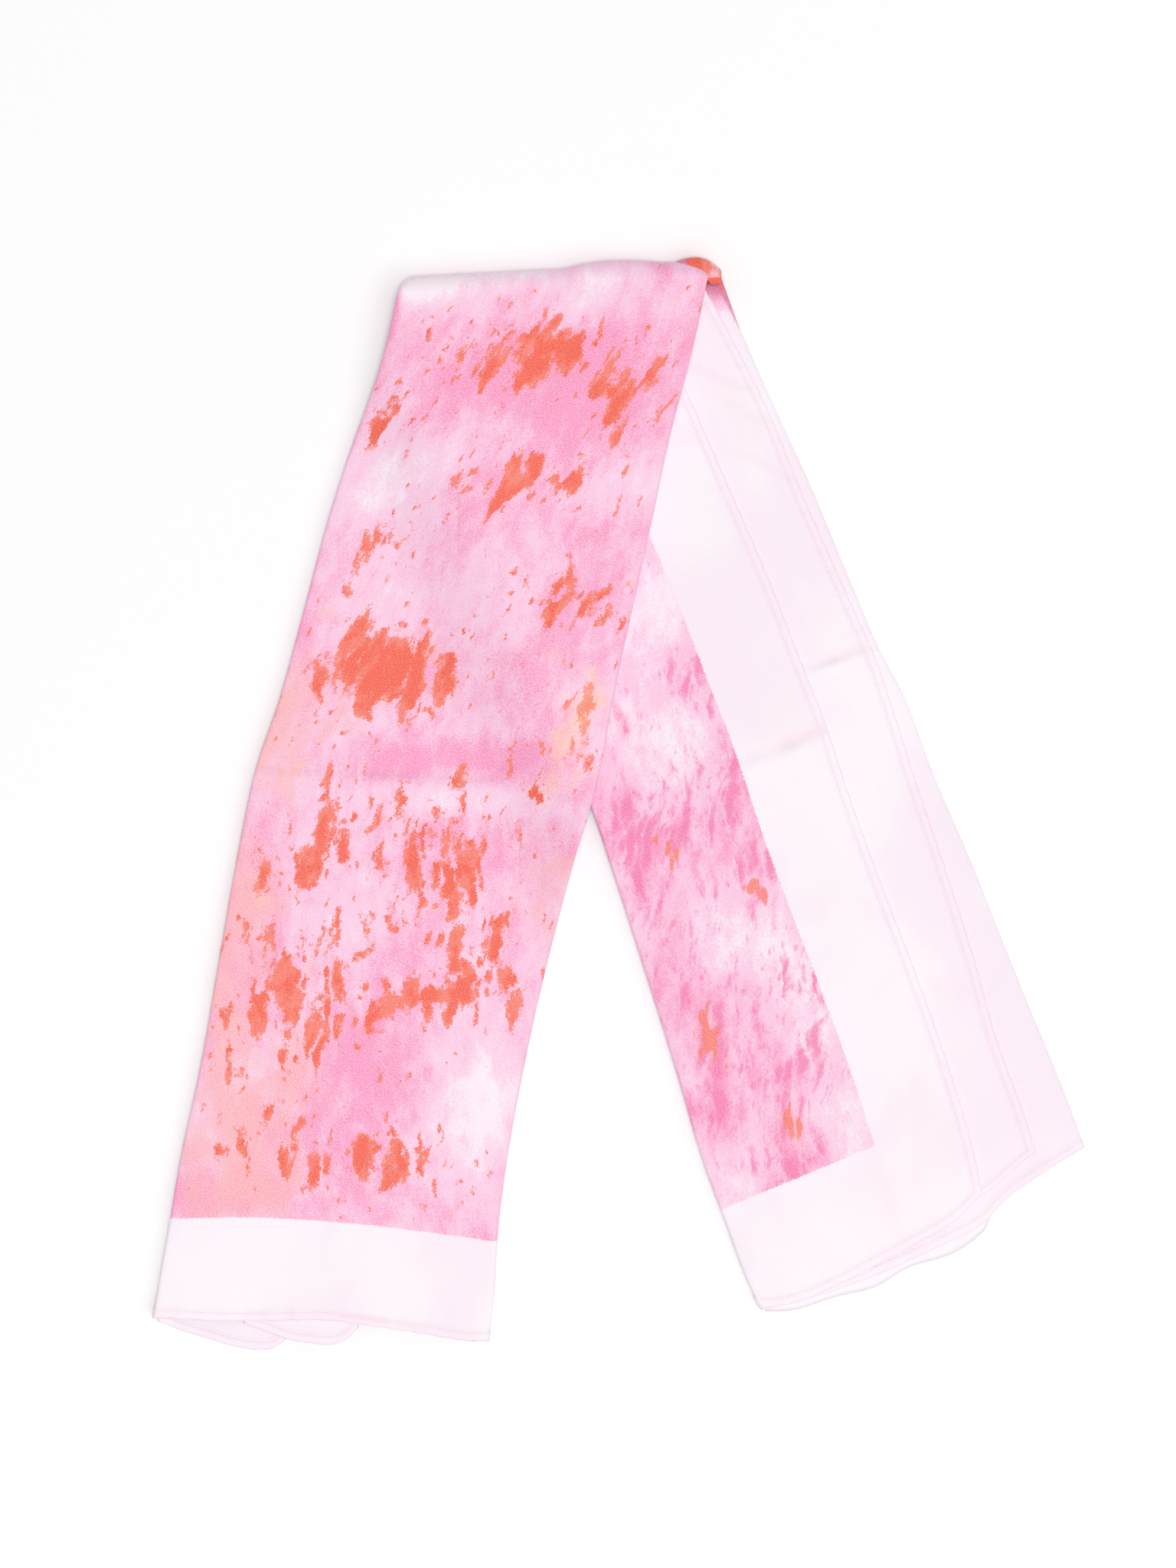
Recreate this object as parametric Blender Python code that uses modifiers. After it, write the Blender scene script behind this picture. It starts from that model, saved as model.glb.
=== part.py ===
"""Folded satin bandana, lying flat.

A square scarf is folded into a strip of six layers. The strip is folded once across its middle, so its two
legs lie as an upturned V, the left leg on top of the right one. +X is to the right, +Y towards the fold and
+Z up. The origin is under the middle of the whole, on the surface that the scarf lies on.
"""
import math
from collections import namedtuple

import bmesh
import bpy
from mathutils import Vector

MM = 0.001

# ---------------------------------------------------------------------------------------------------------
# Driving dimensions, in millimetres
# ---------------------------------------------------------------------------------------------------------
WALL = 1.0                # a panel of the cloth, with the air that it holds
GAP = 0.3                 # clear space between neighbouring solids
HIDDEN_RIGHT = 1.4        # the hidden layers at the bottom of the right leg
HEM_WIDTH = 3.4           # the turned hem, from its edge to its inner line
HEM_STEP = 0.5            # width of the step from the hem down to the panel
HEM_RISE = 0.3            # how far the doubled hem stands above the panel
EDGE_ROUND = 1.6          # rounding of the long folds of the two upper stretches
PANEL_ROUND = 1.2         # rounding of the side panel's folds
UNDER_FLAP_INSET = 2.2    # how far the under flap and the side panel stay inside the leg's left fold
PANEL_INSET = 0.4
RAMP = 32.0               # width over which the left leg comes down from the right leg to the surface
END_BLEND = 30.0          # length over which an uneven end blends into its leg
LEFT_END_TUCK = 5.5       # how far the left leg's hidden layers stop short of its hem

# Heights of the right leg's layers, from the surface up, and the axis that the strip is folded round.
PANEL_TOP = HIDDEN_RIGHT + GAP + WALL
UNDER_FLAP_TOP = PANEL_TOP + GAP + WALL
FLAP_TOP = UNDER_FLAP_TOP + GAP + WALL
STRIP = FLAP_TOP
FOLD_AXIS = STRIP + (HEM_RISE + GAP) / 2
LIFT = 2 * FOLD_AXIS - STRIP

# A row crosses a leg from its left fold to its right fold: first the row at the fold, last the one at the
# hem. On the right leg, flap and under_flap are the distances along the row to the edges of the two flaps.
LeftRow = namedtuple("LeftRow", "left_x left_y right_x right_y")
RightRow = namedtuple("RightRow", "left_x left_y right_x right_y flap under_flap")

LEFT_ROWS = [LeftRow(*row) for row in (
    (-73.1, 169.8, 29.9, 175.4),
    (-79.2, 145.3, 24.3, 149.3),
    (-89.4, 117.1, 17.1, 121.7),
    (-97.3, 92.1, 11.2, 94.2),
    (-104.8, 64.0, 5.1, 66.6),
    (-112.7, 35.4, -1.0, 38.7),
    (-120.9, 10.9, -7.2, 6.3),
    (-127.0, -18.3, -15.3, -21.1),
    (-133.4, -54.8, -25.3, -59.9),
    (-139.5, -89.3, -32.2, -91.9),
    (-145.4, -116.1, -36.8, -117.4),
    (-149.5, -139.9, -39.9, -141.2),
    (-152.3, -155.7, -41.1, -162.1),
    (-154.8, -170.8, -43.2, -178.2),
)]
RIGHT_ROWS = [RightRow(*row) for row in (
    (-73.1, 169.8, 35.0, 175.4, 83.8, 100.5),
    (-66.9, 148.3, 43.2, 152.9, 83.8, 106.3),
    (-55.4, 117.7, 53.1, 130.4, 83.4, 106.7),
    (-43.7, 87.5, 64.1, 106.4, 83.5, 105.8),
    (-31.2, 55.1, 75.6, 78.8, 84.1, 106.4),
    (-19.7, 25.7, 86.6, 52.8, 83.7, 107.4),
    (-9.2, -0.6, 95.6, 35.4, 83.0, 106.0),
    (-0.8, -25.4, 105.0, 10.3, 82.8, 105.4),
    (8.9, -55.6, 117.3, -18.3, 84.1, 105.9),
    (18.7, -86.7, 129.0, -47.7, 86.1, 106.0),
    (27.8, -117.4, 139.2, -72.7, 87.8, 105.9),
    (36.5, -141.2, 147.9, -93.9, 86.7, 106.0),
    (42.7, -157.8, 153.0, -107.2, 85.2, 105.9),
    (47.5, -168.2, 155.1, -114.1, 83.3, 105.4),
)]

# How far each end reaches past the last row of its leg, by the share of the leg's width from its left.
EndPoint = namedtuple("EndPoint", "share reach")
FRONT_END = [EndPoint(*p) for p in (
    (0.0, 0.0), (0.2, -0.3), (0.35, -1.5), (0.5, -2.8), (0.62, -2.2), (0.8, -0.6), (0.92, 0.8), (1.0, 0.3))]
FLAP_END = [EndPoint(*p) for p in (
    (0.0, -0.6), (0.06, 2.2), (0.16, 4.1), (0.3, 4.3), (0.45, 3.8), (0.6, 2.6), (0.7, -1.4), (1.0, -1.4))]
UNDER_FLAP_END = [EndPoint(*p) for p in (
    (0.0, 0.0), (0.5, 0.8), (0.7, -0.8), (0.78, -3.4), (0.86, -6.2), (1.0, -6.2))]
PANEL_END = [EndPoint(*p) for p in (
    (0.0, 0.2), (0.1, 3.6), (0.3, 7.0), (0.5, 8.2), (0.66, 8.0), (0.74, 4.3), (0.86, 2.0), (1.0, 0.3))]
HIDDEN_END = [EndPoint(*p) for p in (
    (0.0, 1.1), (0.08, 5.5), (0.2, 7.8), (0.31, 10.8), (0.42, 10.0), (0.54, 12.4), (0.65, 10.4),
    (0.72, 4.0), (0.86, 1.0), (1.0, -0.6))]

# The fold's outline: how much of the full half-round it has, by the distance from each end of the fold.
FOLD_LEFT_CORNER = 5.9
FOLD_RIGHT_CORNER = 11.0

# Beside the fold the hidden layers draw in, to lie inside the front stretch's rounded corners.
FOLD_MARGIN = 1.9
FOLD_MARGIN_LENGTH = 12.0

# The side panel leaves a sliver of the layers below it bare, beside the fold.
SLIVER_WIDTH = 2.3
SLIVER_LENGTH = 25.0

# The rolled loop of the inner layers at the right end of the fold.
# Where the front stretch covers it, only its outermost part, past the fold's rounded corner, is there.
RollRow = namedtuple("RollRow", "across reach from_degrees to_degrees")
ROLL_ROWS = [RollRow(*row) for row in (
    (96.0, 6.7, 66, 114),
    (98.0, 6.85, 60, 120),
    (99.9, 6.8, 54, 126),
    (101.7, 6.35, 46, 134),
    (103.5, 5.6, 38, 160),
    (105.2, 4.5, 34, 178),
    (106.5, 3.0, 32, 180),
    (107.6, 1.7, 32, 180),
)]
ROLL_HALF_HEIGHT = 4.0
ROLL_SEGMENTS = 9

# Rounded rims of the lower layers at the left leg's end: the outline that shows past the hem.
RimPoint = namedtuple("RimPoint", "x y")
RIM_INNER_Y = -168.6
END_FOLD_RIM = [RimPoint(*p) for p in (
    (-153.6, -172.4), (-144.6, -175.9), (-136.7, -178.2), (-129.0, -180.6), (-120.3, -182.0),
    (-114.8, -181.4), (-111.0, -178.6))]
END_HEM_RIM = [RimPoint(*p) for p in (
    (-124.6, -173.0), (-117.0, -175.6), (-109.4, -178.4), (-102.3, -179.5), (-95.3, -180.0),
    (-90.6, -178.2), (-86.6, -174.4))]
END_FOLD_THICKNESS = 1.6
END_HEM_BOTTOM = END_FOLD_THICKNESS + GAP
END_HEM_THICKNESS = 2.0

# Soft ridges of old creases in the upper stretches, from one end of each to the other.
Crease = namedtuple("Crease", "x0 y0 x1 y1 height width")
FRONT_CREASES = [
    Crease(-118.0, 11.2, -44.0, 8.0, 0.7, 7.0),
    Crease(-44.0, 8.0, -12.0, 1.0, 0.6, 7.0),
]
FLAP_CREASES = [Crease(44.0, 16.0, 68.0, 19.0, 0.6, 6.0)]
UNDER_FLAP_CREASES = [Crease(72.0, 44.6, 84.0, 50.0, 0.5, 4.0)]

# The layered sides of the two blocks of hidden layers: how far each point lies in from the block's outline,
# and how far below its top. Each outward bulge is a pair of layers.
SidePoint = namedtuple("SidePoint", "inset depth")
LEFT_SIDE = [SidePoint(*p) for p in (
    (2.3, 0.0), (1.9, 0.45), (1.75, 0.95), (0.6, 1.2), (0.1, 1.7), (0.4, 2.2), (1.1, 2.4),
    (0.45, 2.6), (0.15, 3.25), (0.5, 3.85), (1.3, 4.0))]
RIGHT_SIDE = [SidePoint(*p) for p in (
    (4.8, 0.0), (4.0, 0.35), (0.4, 0.42), (0.0, 0.65), (0.35, 0.86), (0.1, 1.1), (0.25, 1.3), (0.7, 1.4))]

# Grid steps. The columns are shares of a leg's width, and on the left leg lie closer at its rounded corners.
LEG_ROWS = 30
FOLD_ROWS = 8
CURL_STEPS = 3
LEFT_COLUMNS = (0.0, 0.02, 0.045, 0.1, 0.2, 0.3, 0.4, 0.5, 0.6, 0.7, 0.8, 0.88, 0.93, 0.965, 1.0)
RIGHT_COLUMNS = tuple(step / 9 for step in range(10))

# Colours, with roughness: the printed face, the paler flap, the plain wrong side and border.
Finish = namedtuple("Finish", "colour roughness")
PRINT = Finish((0.93, 0.42, 0.50), 0.5)
PALE_PRINT = Finish((0.95, 0.62, 0.76), 0.5)
PLAIN = Finish((0.93, 0.86, 0.90), 0.55)
SHADED_PLAIN = Finish((0.88, 0.76, 0.82), 0.55)
ROLL_PRINT = Finish((0.93, 0.30, 0.18), 0.5)


# ---------------------------------------------------------------------------------------------------------
# Curves through the rows
# ---------------------------------------------------------------------------------------------------------
def smooth_step(low, high, value):
    """0 below low, 1 above high, with level ends."""
    share = min(1.0, max(0.0, (value - low) / (high - low)))
    return share * share * (3 - 2 * share)


def curve_value(stations, values, station):
    """A smooth curve through the values at their stations."""
    last = len(stations) - 1
    station = min(stations[-1], max(stations[0], station))
    span = next(i for i in range(last) if station <= stations[i + 1])
    low, high = max(span - 1, 0), min(span + 2, last)
    length = stations[span + 1] - stations[span]
    share = (station - stations[span]) / length
    slope_0 = (values[span + 1] - values[low]) / (stations[span + 1] - stations[low])
    slope_1 = (values[high] - values[span]) / (stations[high] - stations[span])
    square, cube = share ** 2, share ** 3
    return (values[span] * (2 * cube - 3 * square + 1)
            + slope_0 * length * (cube - 2 * square + share)
            + values[span + 1] * (3 * square - 2 * cube)
            + slope_1 * length * (cube - square))


def end_reach(points, share):
    """How far an uneven end reaches past its leg's last row."""
    return curve_value([p.share for p in points], [p.reach for p in points], share)


class Leg:
    """One leg of the strip in plan, between the curves of its left and right folds."""

    def __init__(self, rows):
        self.rows = rows
        middles = [Vector(((r.left_x + r.right_x) / 2, (r.left_y + r.right_y) / 2)) for r in rows]
        self.stations = [0.0]
        for before, after in zip(middles, middles[1:]):
            self.stations.append(self.stations[-1] + (after - before).length)
        self.length = self.stations[-1]

    def column(self, name, along):
        """A column of the rows' table at a distance along the leg."""
        return curve_value(self.stations, [getattr(row, name) for row in self.rows], along)

    def edges(self, along):
        """The left and right ends of the row at a distance from the fold, also a little past the hem."""
        inside = min(along, self.length)
        left = Vector((self.column("left_x", inside), self.column("left_y", inside)))
        right = Vector((self.column("right_x", inside), self.column("right_y", inside)))
        if along > self.length:
            across = (right - left).normalized()
            past_hem = Vector((across.y, -across.x)) * (along - self.length)
            left += past_hem
            right += past_hem
        return left, right

    def width(self, along):
        left, right = self.edges(along)
        return (right - left).length

    def point(self, inset, along):
        """The plan point at an inset from the left fold and a distance from the fold across."""
        left, right = self.edges(along)
        return left + (right - left).normalized() * inset


left_leg = Leg(LEFT_ROWS)
right_leg = Leg(RIGHT_ROWS)
fold_left, fold_right = left_leg.edges(0.0)
FOLD_WIDTH = (fold_right - fold_left).length
FOLD_ACROSS = (fold_right - fold_left).normalized()
FOLD_OUTWARD = Vector((-FOLD_ACROSS.y, FOLD_ACROSS.x))


def with_reach(leg, points, inset, along):
    """The distance along a leg, stretched near its hem to the uneven end."""
    share = inset / leg.width(min(along, leg.length))
    return along + end_reach(points, share) * smooth_step(leg.length - END_BLEND, leg.length, along)


def support_under(x, y):
    """1 where the left leg lies on the right leg, falling to 0 where it lies on the surface."""
    steps = 60
    nearest = None
    for step in range(steps + 1):
        left, right = right_leg.edges(right_leg.length * step / steps)
        offset = Vector((x, y)) - left
        if nearest is None or offset.length < nearest[0]:
            across = (right - left).normalized()
            nearest = (offset.length, offset.dot(across))
    distance, inward = nearest
    return 1.0 if inward >= 0 else 1.0 - smooth_step(0.0, RAMP, distance)


def fold_margin(along):
    """How far a layer draws in from its leg's outline beside the fold."""
    return FOLD_MARGIN * (1 - smooth_step(0.0, FOLD_MARGIN_LENGTH, along))


def crease_height(creases, x, y):
    """The height that old creases add at a plan point."""
    height = 0.0
    for crease in creases:
        start, end = Vector((crease.x0, crease.y0)), Vector((crease.x1, crease.y1))
        run = end - start
        share = min(1.0, max(0.0, (Vector((x, y)) - start).dot(run) / run.length_squared))
        distance = (Vector((x, y)) - (start + run * share)).length
        height = max(height, crease.height * math.exp(-(distance / crease.width) ** 2))
    return height


def on_right_leg(inset, along, height):
    """A point of the right leg at a height above the surface."""
    plan = right_leg.point(inset, along)
    return Vector((plan.x, plan.y, height)) * MM


def on_left_leg(inset, along, depth, rise=0.0):
    """A point of the left leg at a depth below its printed face."""
    plan = left_leg.point(inset, along)
    height = 2 * FOLD_AXIS - depth - LIFT * (1 - support_under(plan.x, plan.y))
    return Vector((plan.x, plan.y, height + rise)) * MM


def fold_roundness(inset, margin):
    """The share of its half-round that the fold has at an inset, for a layer a margin inside its corners."""
    from_left = min(1.0, max(0.0, (inset - margin) / (FOLD_LEFT_CORNER - margin)))
    from_right = min(1.0, max(0.0, (FOLD_WIDTH - inset - margin) / (FOLD_RIGHT_CORNER - margin)))
    return math.sqrt(1 - (1 - from_left) ** 2) * math.sqrt(1 - (1 - from_right) ** 2)


def round_the_fold(inset, angle, depth, margin=0.0):
    """A point of the half-turn: angle 0 is on the left leg, half a turn is on the right leg."""
    radius = FOLD_AXIS - depth
    reach = radius * fold_roundness(inset, margin) * math.sin(angle)
    plan = fold_left + FOLD_ACROSS * inset + FOLD_OUTWARD * reach
    return Vector((plan.x, plan.y, FOLD_AXIS + radius * math.cos(angle))) * MM


# ---------------------------------------------------------------------------------------------------------
# Making solids
# ---------------------------------------------------------------------------------------------------------
def finish_material(name, finish):
    """A cloth material of one colour."""
    material = bpy.data.materials.new(name)
    material.use_nodes = True
    shader = material.node_tree.nodes["Principled BSDF"]
    shader.inputs["Base Color"].default_value = (*finish.colour, 1.0)
    shader.inputs["Roughness"].default_value = finish.roughness
    shader.inputs["Metallic"].default_value = 0.0
    shader.inputs["Sheen Weight"].default_value = 0.3
    material.diffuse_color = (*finish.colour, 1.0)
    return material


def add_object(name, shape, collection, finish):
    """Turn a bmesh into a smooth-shaded object with its own material."""
    mesh = bpy.data.meshes.new(name)
    shape.to_mesh(mesh)
    shape.free()
    mesh.shade_smooth()
    mesh.set_sharp_from_angle(angle=math.radians(50))
    mesh.materials.append(finish_material(name, finish))
    solid = bpy.data.objects.new(name, mesh)
    collection.objects.link(solid)
    return solid


def mapped_grid(columns, rows, place):
    """A grid whose crossing at a column and row is put at place(column, row)."""
    shape = bmesh.new()
    bmesh.ops.create_grid(shape, x_segments=columns, y_segments=rows, size=1.0)
    for vertex in shape.verts:
        column = round((vertex.co.x + 1) / 2 * columns)
        row = round((vertex.co.y + 1) / 2 * rows)
        vertex.co = place(column, row)
    return shape


def cloth_wall(name, columns, rows, place, collection, finish, thickness=WALL):
    """A panel of cloth: an open surface, its outer face, with the wall's thickness below it."""
    shape = mapped_grid(columns, rows, place)
    panel = add_object(name, shape, collection, finish)
    solidify = panel.modifiers.new("Cloth thickness", "SOLIDIFY")
    solidify.thickness = thickness * MM
    solidify.offset = -1.0
    return panel


def layered_block(name, sections, collection, finish):
    """A solid through closed sections, with its two ends filled."""
    around, last = len(sections[0]), len(sections) - 1
    shape = mapped_grid(around, last, lambda column, row: sections[row][column % around])
    bmesh.ops.remove_doubles(shape, verts=shape.verts, dist=0.001 * MM)
    bmesh.ops.holes_fill(shape, edges=shape.edges, sides=0)
    bmesh.ops.recalc_face_normals(shape, faces=shape.faces)
    return add_object(name, shape, collection, finish)


def panel_section(start, end, left_round, right_round, hem, columns=RIGHT_COLUMNS):
    """Points across a panel, as (inset, drop): rounded folds, and close steps at a hem on the right."""
    points = []
    quarter = math.pi / 2
    for step in range(CURL_STEPS if left_round else 0):
        angle = quarter * (1 - step / CURL_STEPS)
        points.append((start + left_round * (1 - math.sin(angle)), left_round * (1 - math.cos(angle))))
    first = start + left_round
    last = end - (HEM_WIDTH + HEM_STEP if hem else right_round)
    points += [(first + (last - first) * share, 0.0) for share in columns]
    if hem:
        points.append((end - HEM_WIDTH, -HEM_RISE))
        points.append((end, -HEM_RISE))
    for step in range(1, CURL_STEPS + 1 if right_round and not hem else 1):
        angle = quarter * step / CURL_STEPS
        points.append((end - right_round * (1 - math.sin(angle)), right_round * (1 - math.cos(angle))))
    return points


def leg_distances(length):
    """Distances from the fold for a panel's rows, from its hem up, with close steps at the hem."""
    distances = [length, length - HEM_WIDTH, length - HEM_WIDTH - HEM_STEP]
    body = distances[-1]
    return distances + [body * (1 - step / LEG_ROWS) for step in range(1, LEG_ROWS + 1)]


def hem_rise(row):
    """The doubled end hem covers a panel's first two rows."""
    return HEM_RISE if row <= 1 else 0.0


# ---------------------------------------------------------------------------------------------------------
# The stretches of cloth
# ---------------------------------------------------------------------------------------------------------
def front_section(along):
    """Points across the front stretch, rounded down at both folds."""
    return panel_section(0.0, left_leg.width(along), EDGE_ROUND, EDGE_ROUND, False, LEFT_COLUMNS)


def make_front_stretch(collection):
    """The printed face of the left leg, carried round the fold to the surface."""
    distances = leg_distances(left_leg.length)
    legs = len(distances) - 1

    def place(column, row):
        along = distances[min(row, legs)]
        inset, drop = front_section(along)[column]
        if row > legs:
            return round_the_fold(inset, math.pi * (row - legs) / FOLD_ROWS, drop)
        plan = left_leg.point(inset, along)
        rise = crease_height(FRONT_CREASES, plan.x, plan.y) + hem_rise(row)
        return on_left_leg(inset, with_reach(left_leg, FRONT_END, inset, along), drop, rise)

    columns = len(front_section(0.0)) - 1
    cloth_wall("front_stretch", columns, legs + FOLD_ROWS, place, collection, PRINT)


def make_right_panel(name, top, start, edge, rounds, hem, end_points, creases, collection, finish):
    """One of the right leg's panels, from its hem to the fold."""
    distances = leg_distances(right_leg.length)
    distances[-1] = GAP

    def place(column, row):
        along = distances[row]
        inset, drop = panel_section(start + fold_margin(along), edge(along), *rounds, hem)[column]
        reached = with_reach(right_leg, end_points, inset, along)
        plan = right_leg.point(inset, reached)
        rise = crease_height(creases, plan.x, plan.y)
        rise += hem_rise(row) if drop >= 0 else 0.0
        return on_right_leg(inset, reached, top - drop + rise)

    columns = len(panel_section(start, edge(GAP), *rounds, hem)) - 1
    cloth_wall(name, columns, len(distances) - 1, place, collection, finish)


def panel_edge(along):
    """The side panel's right fold: the leg's own outline, less the sliver beside the fold."""
    bare = SLIVER_WIDTH * (1 - smooth_step(0.0, SLIVER_LENGTH, along))
    return right_leg.width(along) - bare


def block_section(width, side, place, columns, left_margin, right_margin):
    """A closed section: over the top, down the right side, back below and up the left side."""
    def run(edge):
        low, high = edge.inset + left_margin, width - edge.inset - right_margin
        insets = [EDGE_ROUND + (width - 2 * EDGE_ROUND) * share for share in columns]
        return [(low, edge.depth)] + [(inset, edge.depth) for inset in insets[1:-1]] + [(high, edge.depth)]

    points = run(side[0])
    points += [(width - right_margin - p.inset, p.depth) for p in side[1:-1]]
    points += reversed(run(side[-1]))
    points += [(left_margin + p.inset, p.depth) for p in reversed(side[1:-1])]
    return [place(inset, depth) for inset, depth in points]


def make_left_hidden_layers(collection):
    """The left leg's hidden layers, with their half-round in the fold."""
    top_depth = WALL + GAP
    sections = []
    distances = [d for d in leg_distances(left_leg.length) if d <= left_leg.length - LEFT_END_TUCK]
    distances.insert(0, left_leg.length - LEFT_END_TUCK)

    for along in distances:
        def on_leg(inset, depth):
            return on_left_leg(inset, with_reach(left_leg, FRONT_END, inset, along), top_depth + depth)
        margin = fold_margin(along)
        sections.append(block_section(left_leg.width(along), LEFT_SIDE, on_leg, LEFT_COLUMNS, margin, margin))
    for step in range(1, FOLD_ROWS + 1):
        def in_fold(inset, depth):
            return round_the_fold(inset, math.pi * step / FOLD_ROWS, top_depth + depth, FOLD_MARGIN)
        sections.append(block_section(FOLD_WIDTH, LEFT_SIDE, in_fold, LEFT_COLUMNS, FOLD_MARGIN, FOLD_MARGIN))
    layered_block("left_hidden_layers", sections, collection, PLAIN)


def make_right_hidden_layers(collection):
    """The layers below the side panel, flat on the surface."""
    sections = []
    distances = leg_distances(right_leg.length)
    distances[-1] = GAP
    for along in distances:
        def on_leg(inset, depth):
            reached = with_reach(right_leg, HIDDEN_END, inset, along)
            return on_right_leg(inset, reached, HIDDEN_RIGHT - depth)
        width = right_leg.width(along)
        sections.append(block_section(width, RIGHT_SIDE, on_leg, RIGHT_COLUMNS, fold_margin(along), 0.0))
    layered_block("right_hidden_layers", sections, collection, SHADED_PLAIN)


def make_end_rim(name, rim, bottom, thickness, collection):
    """The rounded rim of a lower layer, from under the front stretch's hem to its own outline."""
    columns, rows = 14, 3
    stations = [p.x for p in rim]

    def place(column, row):
        x = stations[0] + (stations[-1] - stations[0]) * column / columns
        outer_y = curve_value(stations, [p.y for p in rim], x)
        y = outer_y + (RIM_INNER_Y - outer_y) * row / rows
        return Vector((x, y, bottom + thickness)) * MM

    cloth_wall(name, columns, rows, place, collection, PLAIN, thickness)


def make_fold_roll(collection):
    """The open-ended loop of the inner layers at the right end of the fold."""
    columns = len(ROLL_ROWS) - 1

    def place(column, row):
        roll = ROLL_ROWS[column]
        degrees = roll.from_degrees + (roll.to_degrees - roll.from_degrees) * row / ROLL_SEGMENTS
        angle = math.radians(degrees)
        plan = fold_left + FOLD_ACROSS * roll.across + FOLD_OUTWARD * (roll.reach * math.sin(angle))
        return Vector((plan.x, plan.y, FOLD_AXIS + ROLL_HALF_HEIGHT * math.cos(angle))) * MM

    cloth_wall("fold_roll", columns, ROLL_SEGMENTS, place, collection, ROLL_PRINT)


def main():
    for old in list(bpy.data.objects):
        bpy.data.objects.remove(old, do_unlink=True)
    bandana = bpy.data.collections.new("bandana")
    bpy.context.scene.collection.children.link(bandana)

    make_front_stretch(bandana)
    make_left_hidden_layers(bandana)
    make_end_rim("left_end_fold", END_FOLD_RIM, 0.0, END_FOLD_THICKNESS, bandana)
    make_end_rim("left_end_hem", END_HEM_RIM, END_HEM_BOTTOM, END_HEM_THICKNESS, bandana)
    make_fold_roll(bandana)
    make_right_panel("right_flap", FLAP_TOP, 0.0, lambda along: right_leg.column("flap", along),
                     (EDGE_ROUND, 0.0), True, FLAP_END, FLAP_CREASES, bandana, PALE_PRINT)
    make_right_panel("right_under_flap", UNDER_FLAP_TOP, UNDER_FLAP_INSET,
                     lambda along: right_leg.column("under_flap", along),
                     (0.0, 0.0), True, UNDER_FLAP_END, UNDER_FLAP_CREASES, bandana, PLAIN)
    make_right_panel("side_panel", PANEL_TOP, PANEL_INSET, panel_edge,
                     (PANEL_ROUND, PANEL_ROUND), False, PANEL_END, [], bandana, SHADED_PLAIN)
    make_right_hidden_layers(bandana)


main()
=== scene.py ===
"""Folded satin bandana, lying flat: its cloth, hems, stitches and print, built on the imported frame."""
from collections import namedtuple

import bmesh
import bpy
import numpy as np
from mathutils import Matrix, Vector


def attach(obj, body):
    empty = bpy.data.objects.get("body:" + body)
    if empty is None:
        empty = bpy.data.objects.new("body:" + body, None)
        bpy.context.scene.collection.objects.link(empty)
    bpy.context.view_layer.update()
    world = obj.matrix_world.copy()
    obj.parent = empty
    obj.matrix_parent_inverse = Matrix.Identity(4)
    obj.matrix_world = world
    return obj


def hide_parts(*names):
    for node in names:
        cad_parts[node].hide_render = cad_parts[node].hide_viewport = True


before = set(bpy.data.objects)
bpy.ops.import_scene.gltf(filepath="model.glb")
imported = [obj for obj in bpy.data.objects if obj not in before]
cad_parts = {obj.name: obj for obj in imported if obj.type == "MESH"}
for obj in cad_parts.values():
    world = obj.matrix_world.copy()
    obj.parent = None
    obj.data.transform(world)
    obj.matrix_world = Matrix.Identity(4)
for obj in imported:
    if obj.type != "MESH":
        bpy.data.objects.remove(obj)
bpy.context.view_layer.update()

bl_info = {
    "name": "Folded Bandana",
    "version": (1, 0, 0),
    "blender": (4, 5, 0),
    "location": "3D View > Sidebar > Bandana",
    "description": "Builds a printed satin bandana, folded into a strip and laid flat, and its studio",
    "category": "Object",
}

MM = 0.001

# ---- The folded strip in plan
# In millimetres: +X right, +Y towards the fold, the middle of the whole at 0, 0.
LeftRow = namedtuple("LeftRow", "left_x left_y right_x right_y")
RightRow = namedtuple("RightRow", "left_x left_y right_x right_y flap under_flap")

LEFT_ROWS = [LeftRow(*row) for row in (
    (-73.1, 169.8, 29.9, 175.4),
    (-79.2, 145.3, 24.3, 149.3),
    (-89.4, 117.1, 17.1, 121.7),
    (-97.3, 92.1, 11.2, 94.2),
    (-104.8, 64.0, 5.1, 66.6),
    (-112.7, 35.4, -1.0, 38.7),
    (-120.9, 10.9, -7.2, 6.3),
    (-127.0, -18.3, -15.3, -21.1),
    (-133.4, -54.8, -25.3, -59.9),
    (-139.5, -89.3, -32.2, -91.9),
    (-145.4, -116.1, -36.8, -117.4),
    (-149.5, -139.9, -39.9, -141.2),
    (-152.3, -155.7, -41.1, -162.1),
    (-154.8, -170.8, -43.2, -178.2),
)]
RIGHT_ROWS = [RightRow(*row) for row in (
    (-73.1, 169.8, 35.0, 175.4, 83.8, 100.5),
    (-66.9, 148.3, 43.2, 152.9, 83.8, 106.3),
    (-55.4, 117.7, 53.1, 130.4, 83.4, 106.7),
    (-43.7, 87.5, 64.1, 106.4, 83.5, 105.8),
    (-31.2, 55.1, 75.6, 78.8, 84.1, 106.4),
    (-19.7, 25.7, 86.6, 52.8, 83.7, 107.4),
    (-9.2, -0.6, 95.6, 35.4, 83.0, 106.0),
    (-0.8, -25.4, 105.0, 10.3, 82.8, 105.4),
    (8.9, -55.6, 117.3, -18.3, 84.1, 105.9),
    (18.7, -86.7, 129.0, -47.7, 86.1, 106.0),
    (27.8, -117.4, 139.2, -72.7, 87.8, 105.9),
    (36.5, -141.2, 147.9, -93.9, 86.7, 106.0),
    (42.7, -157.8, 153.0, -107.2, 85.2, 105.9),
    (47.5, -168.2, 155.1, -114.1, 83.3, 105.4),
)]

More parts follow.
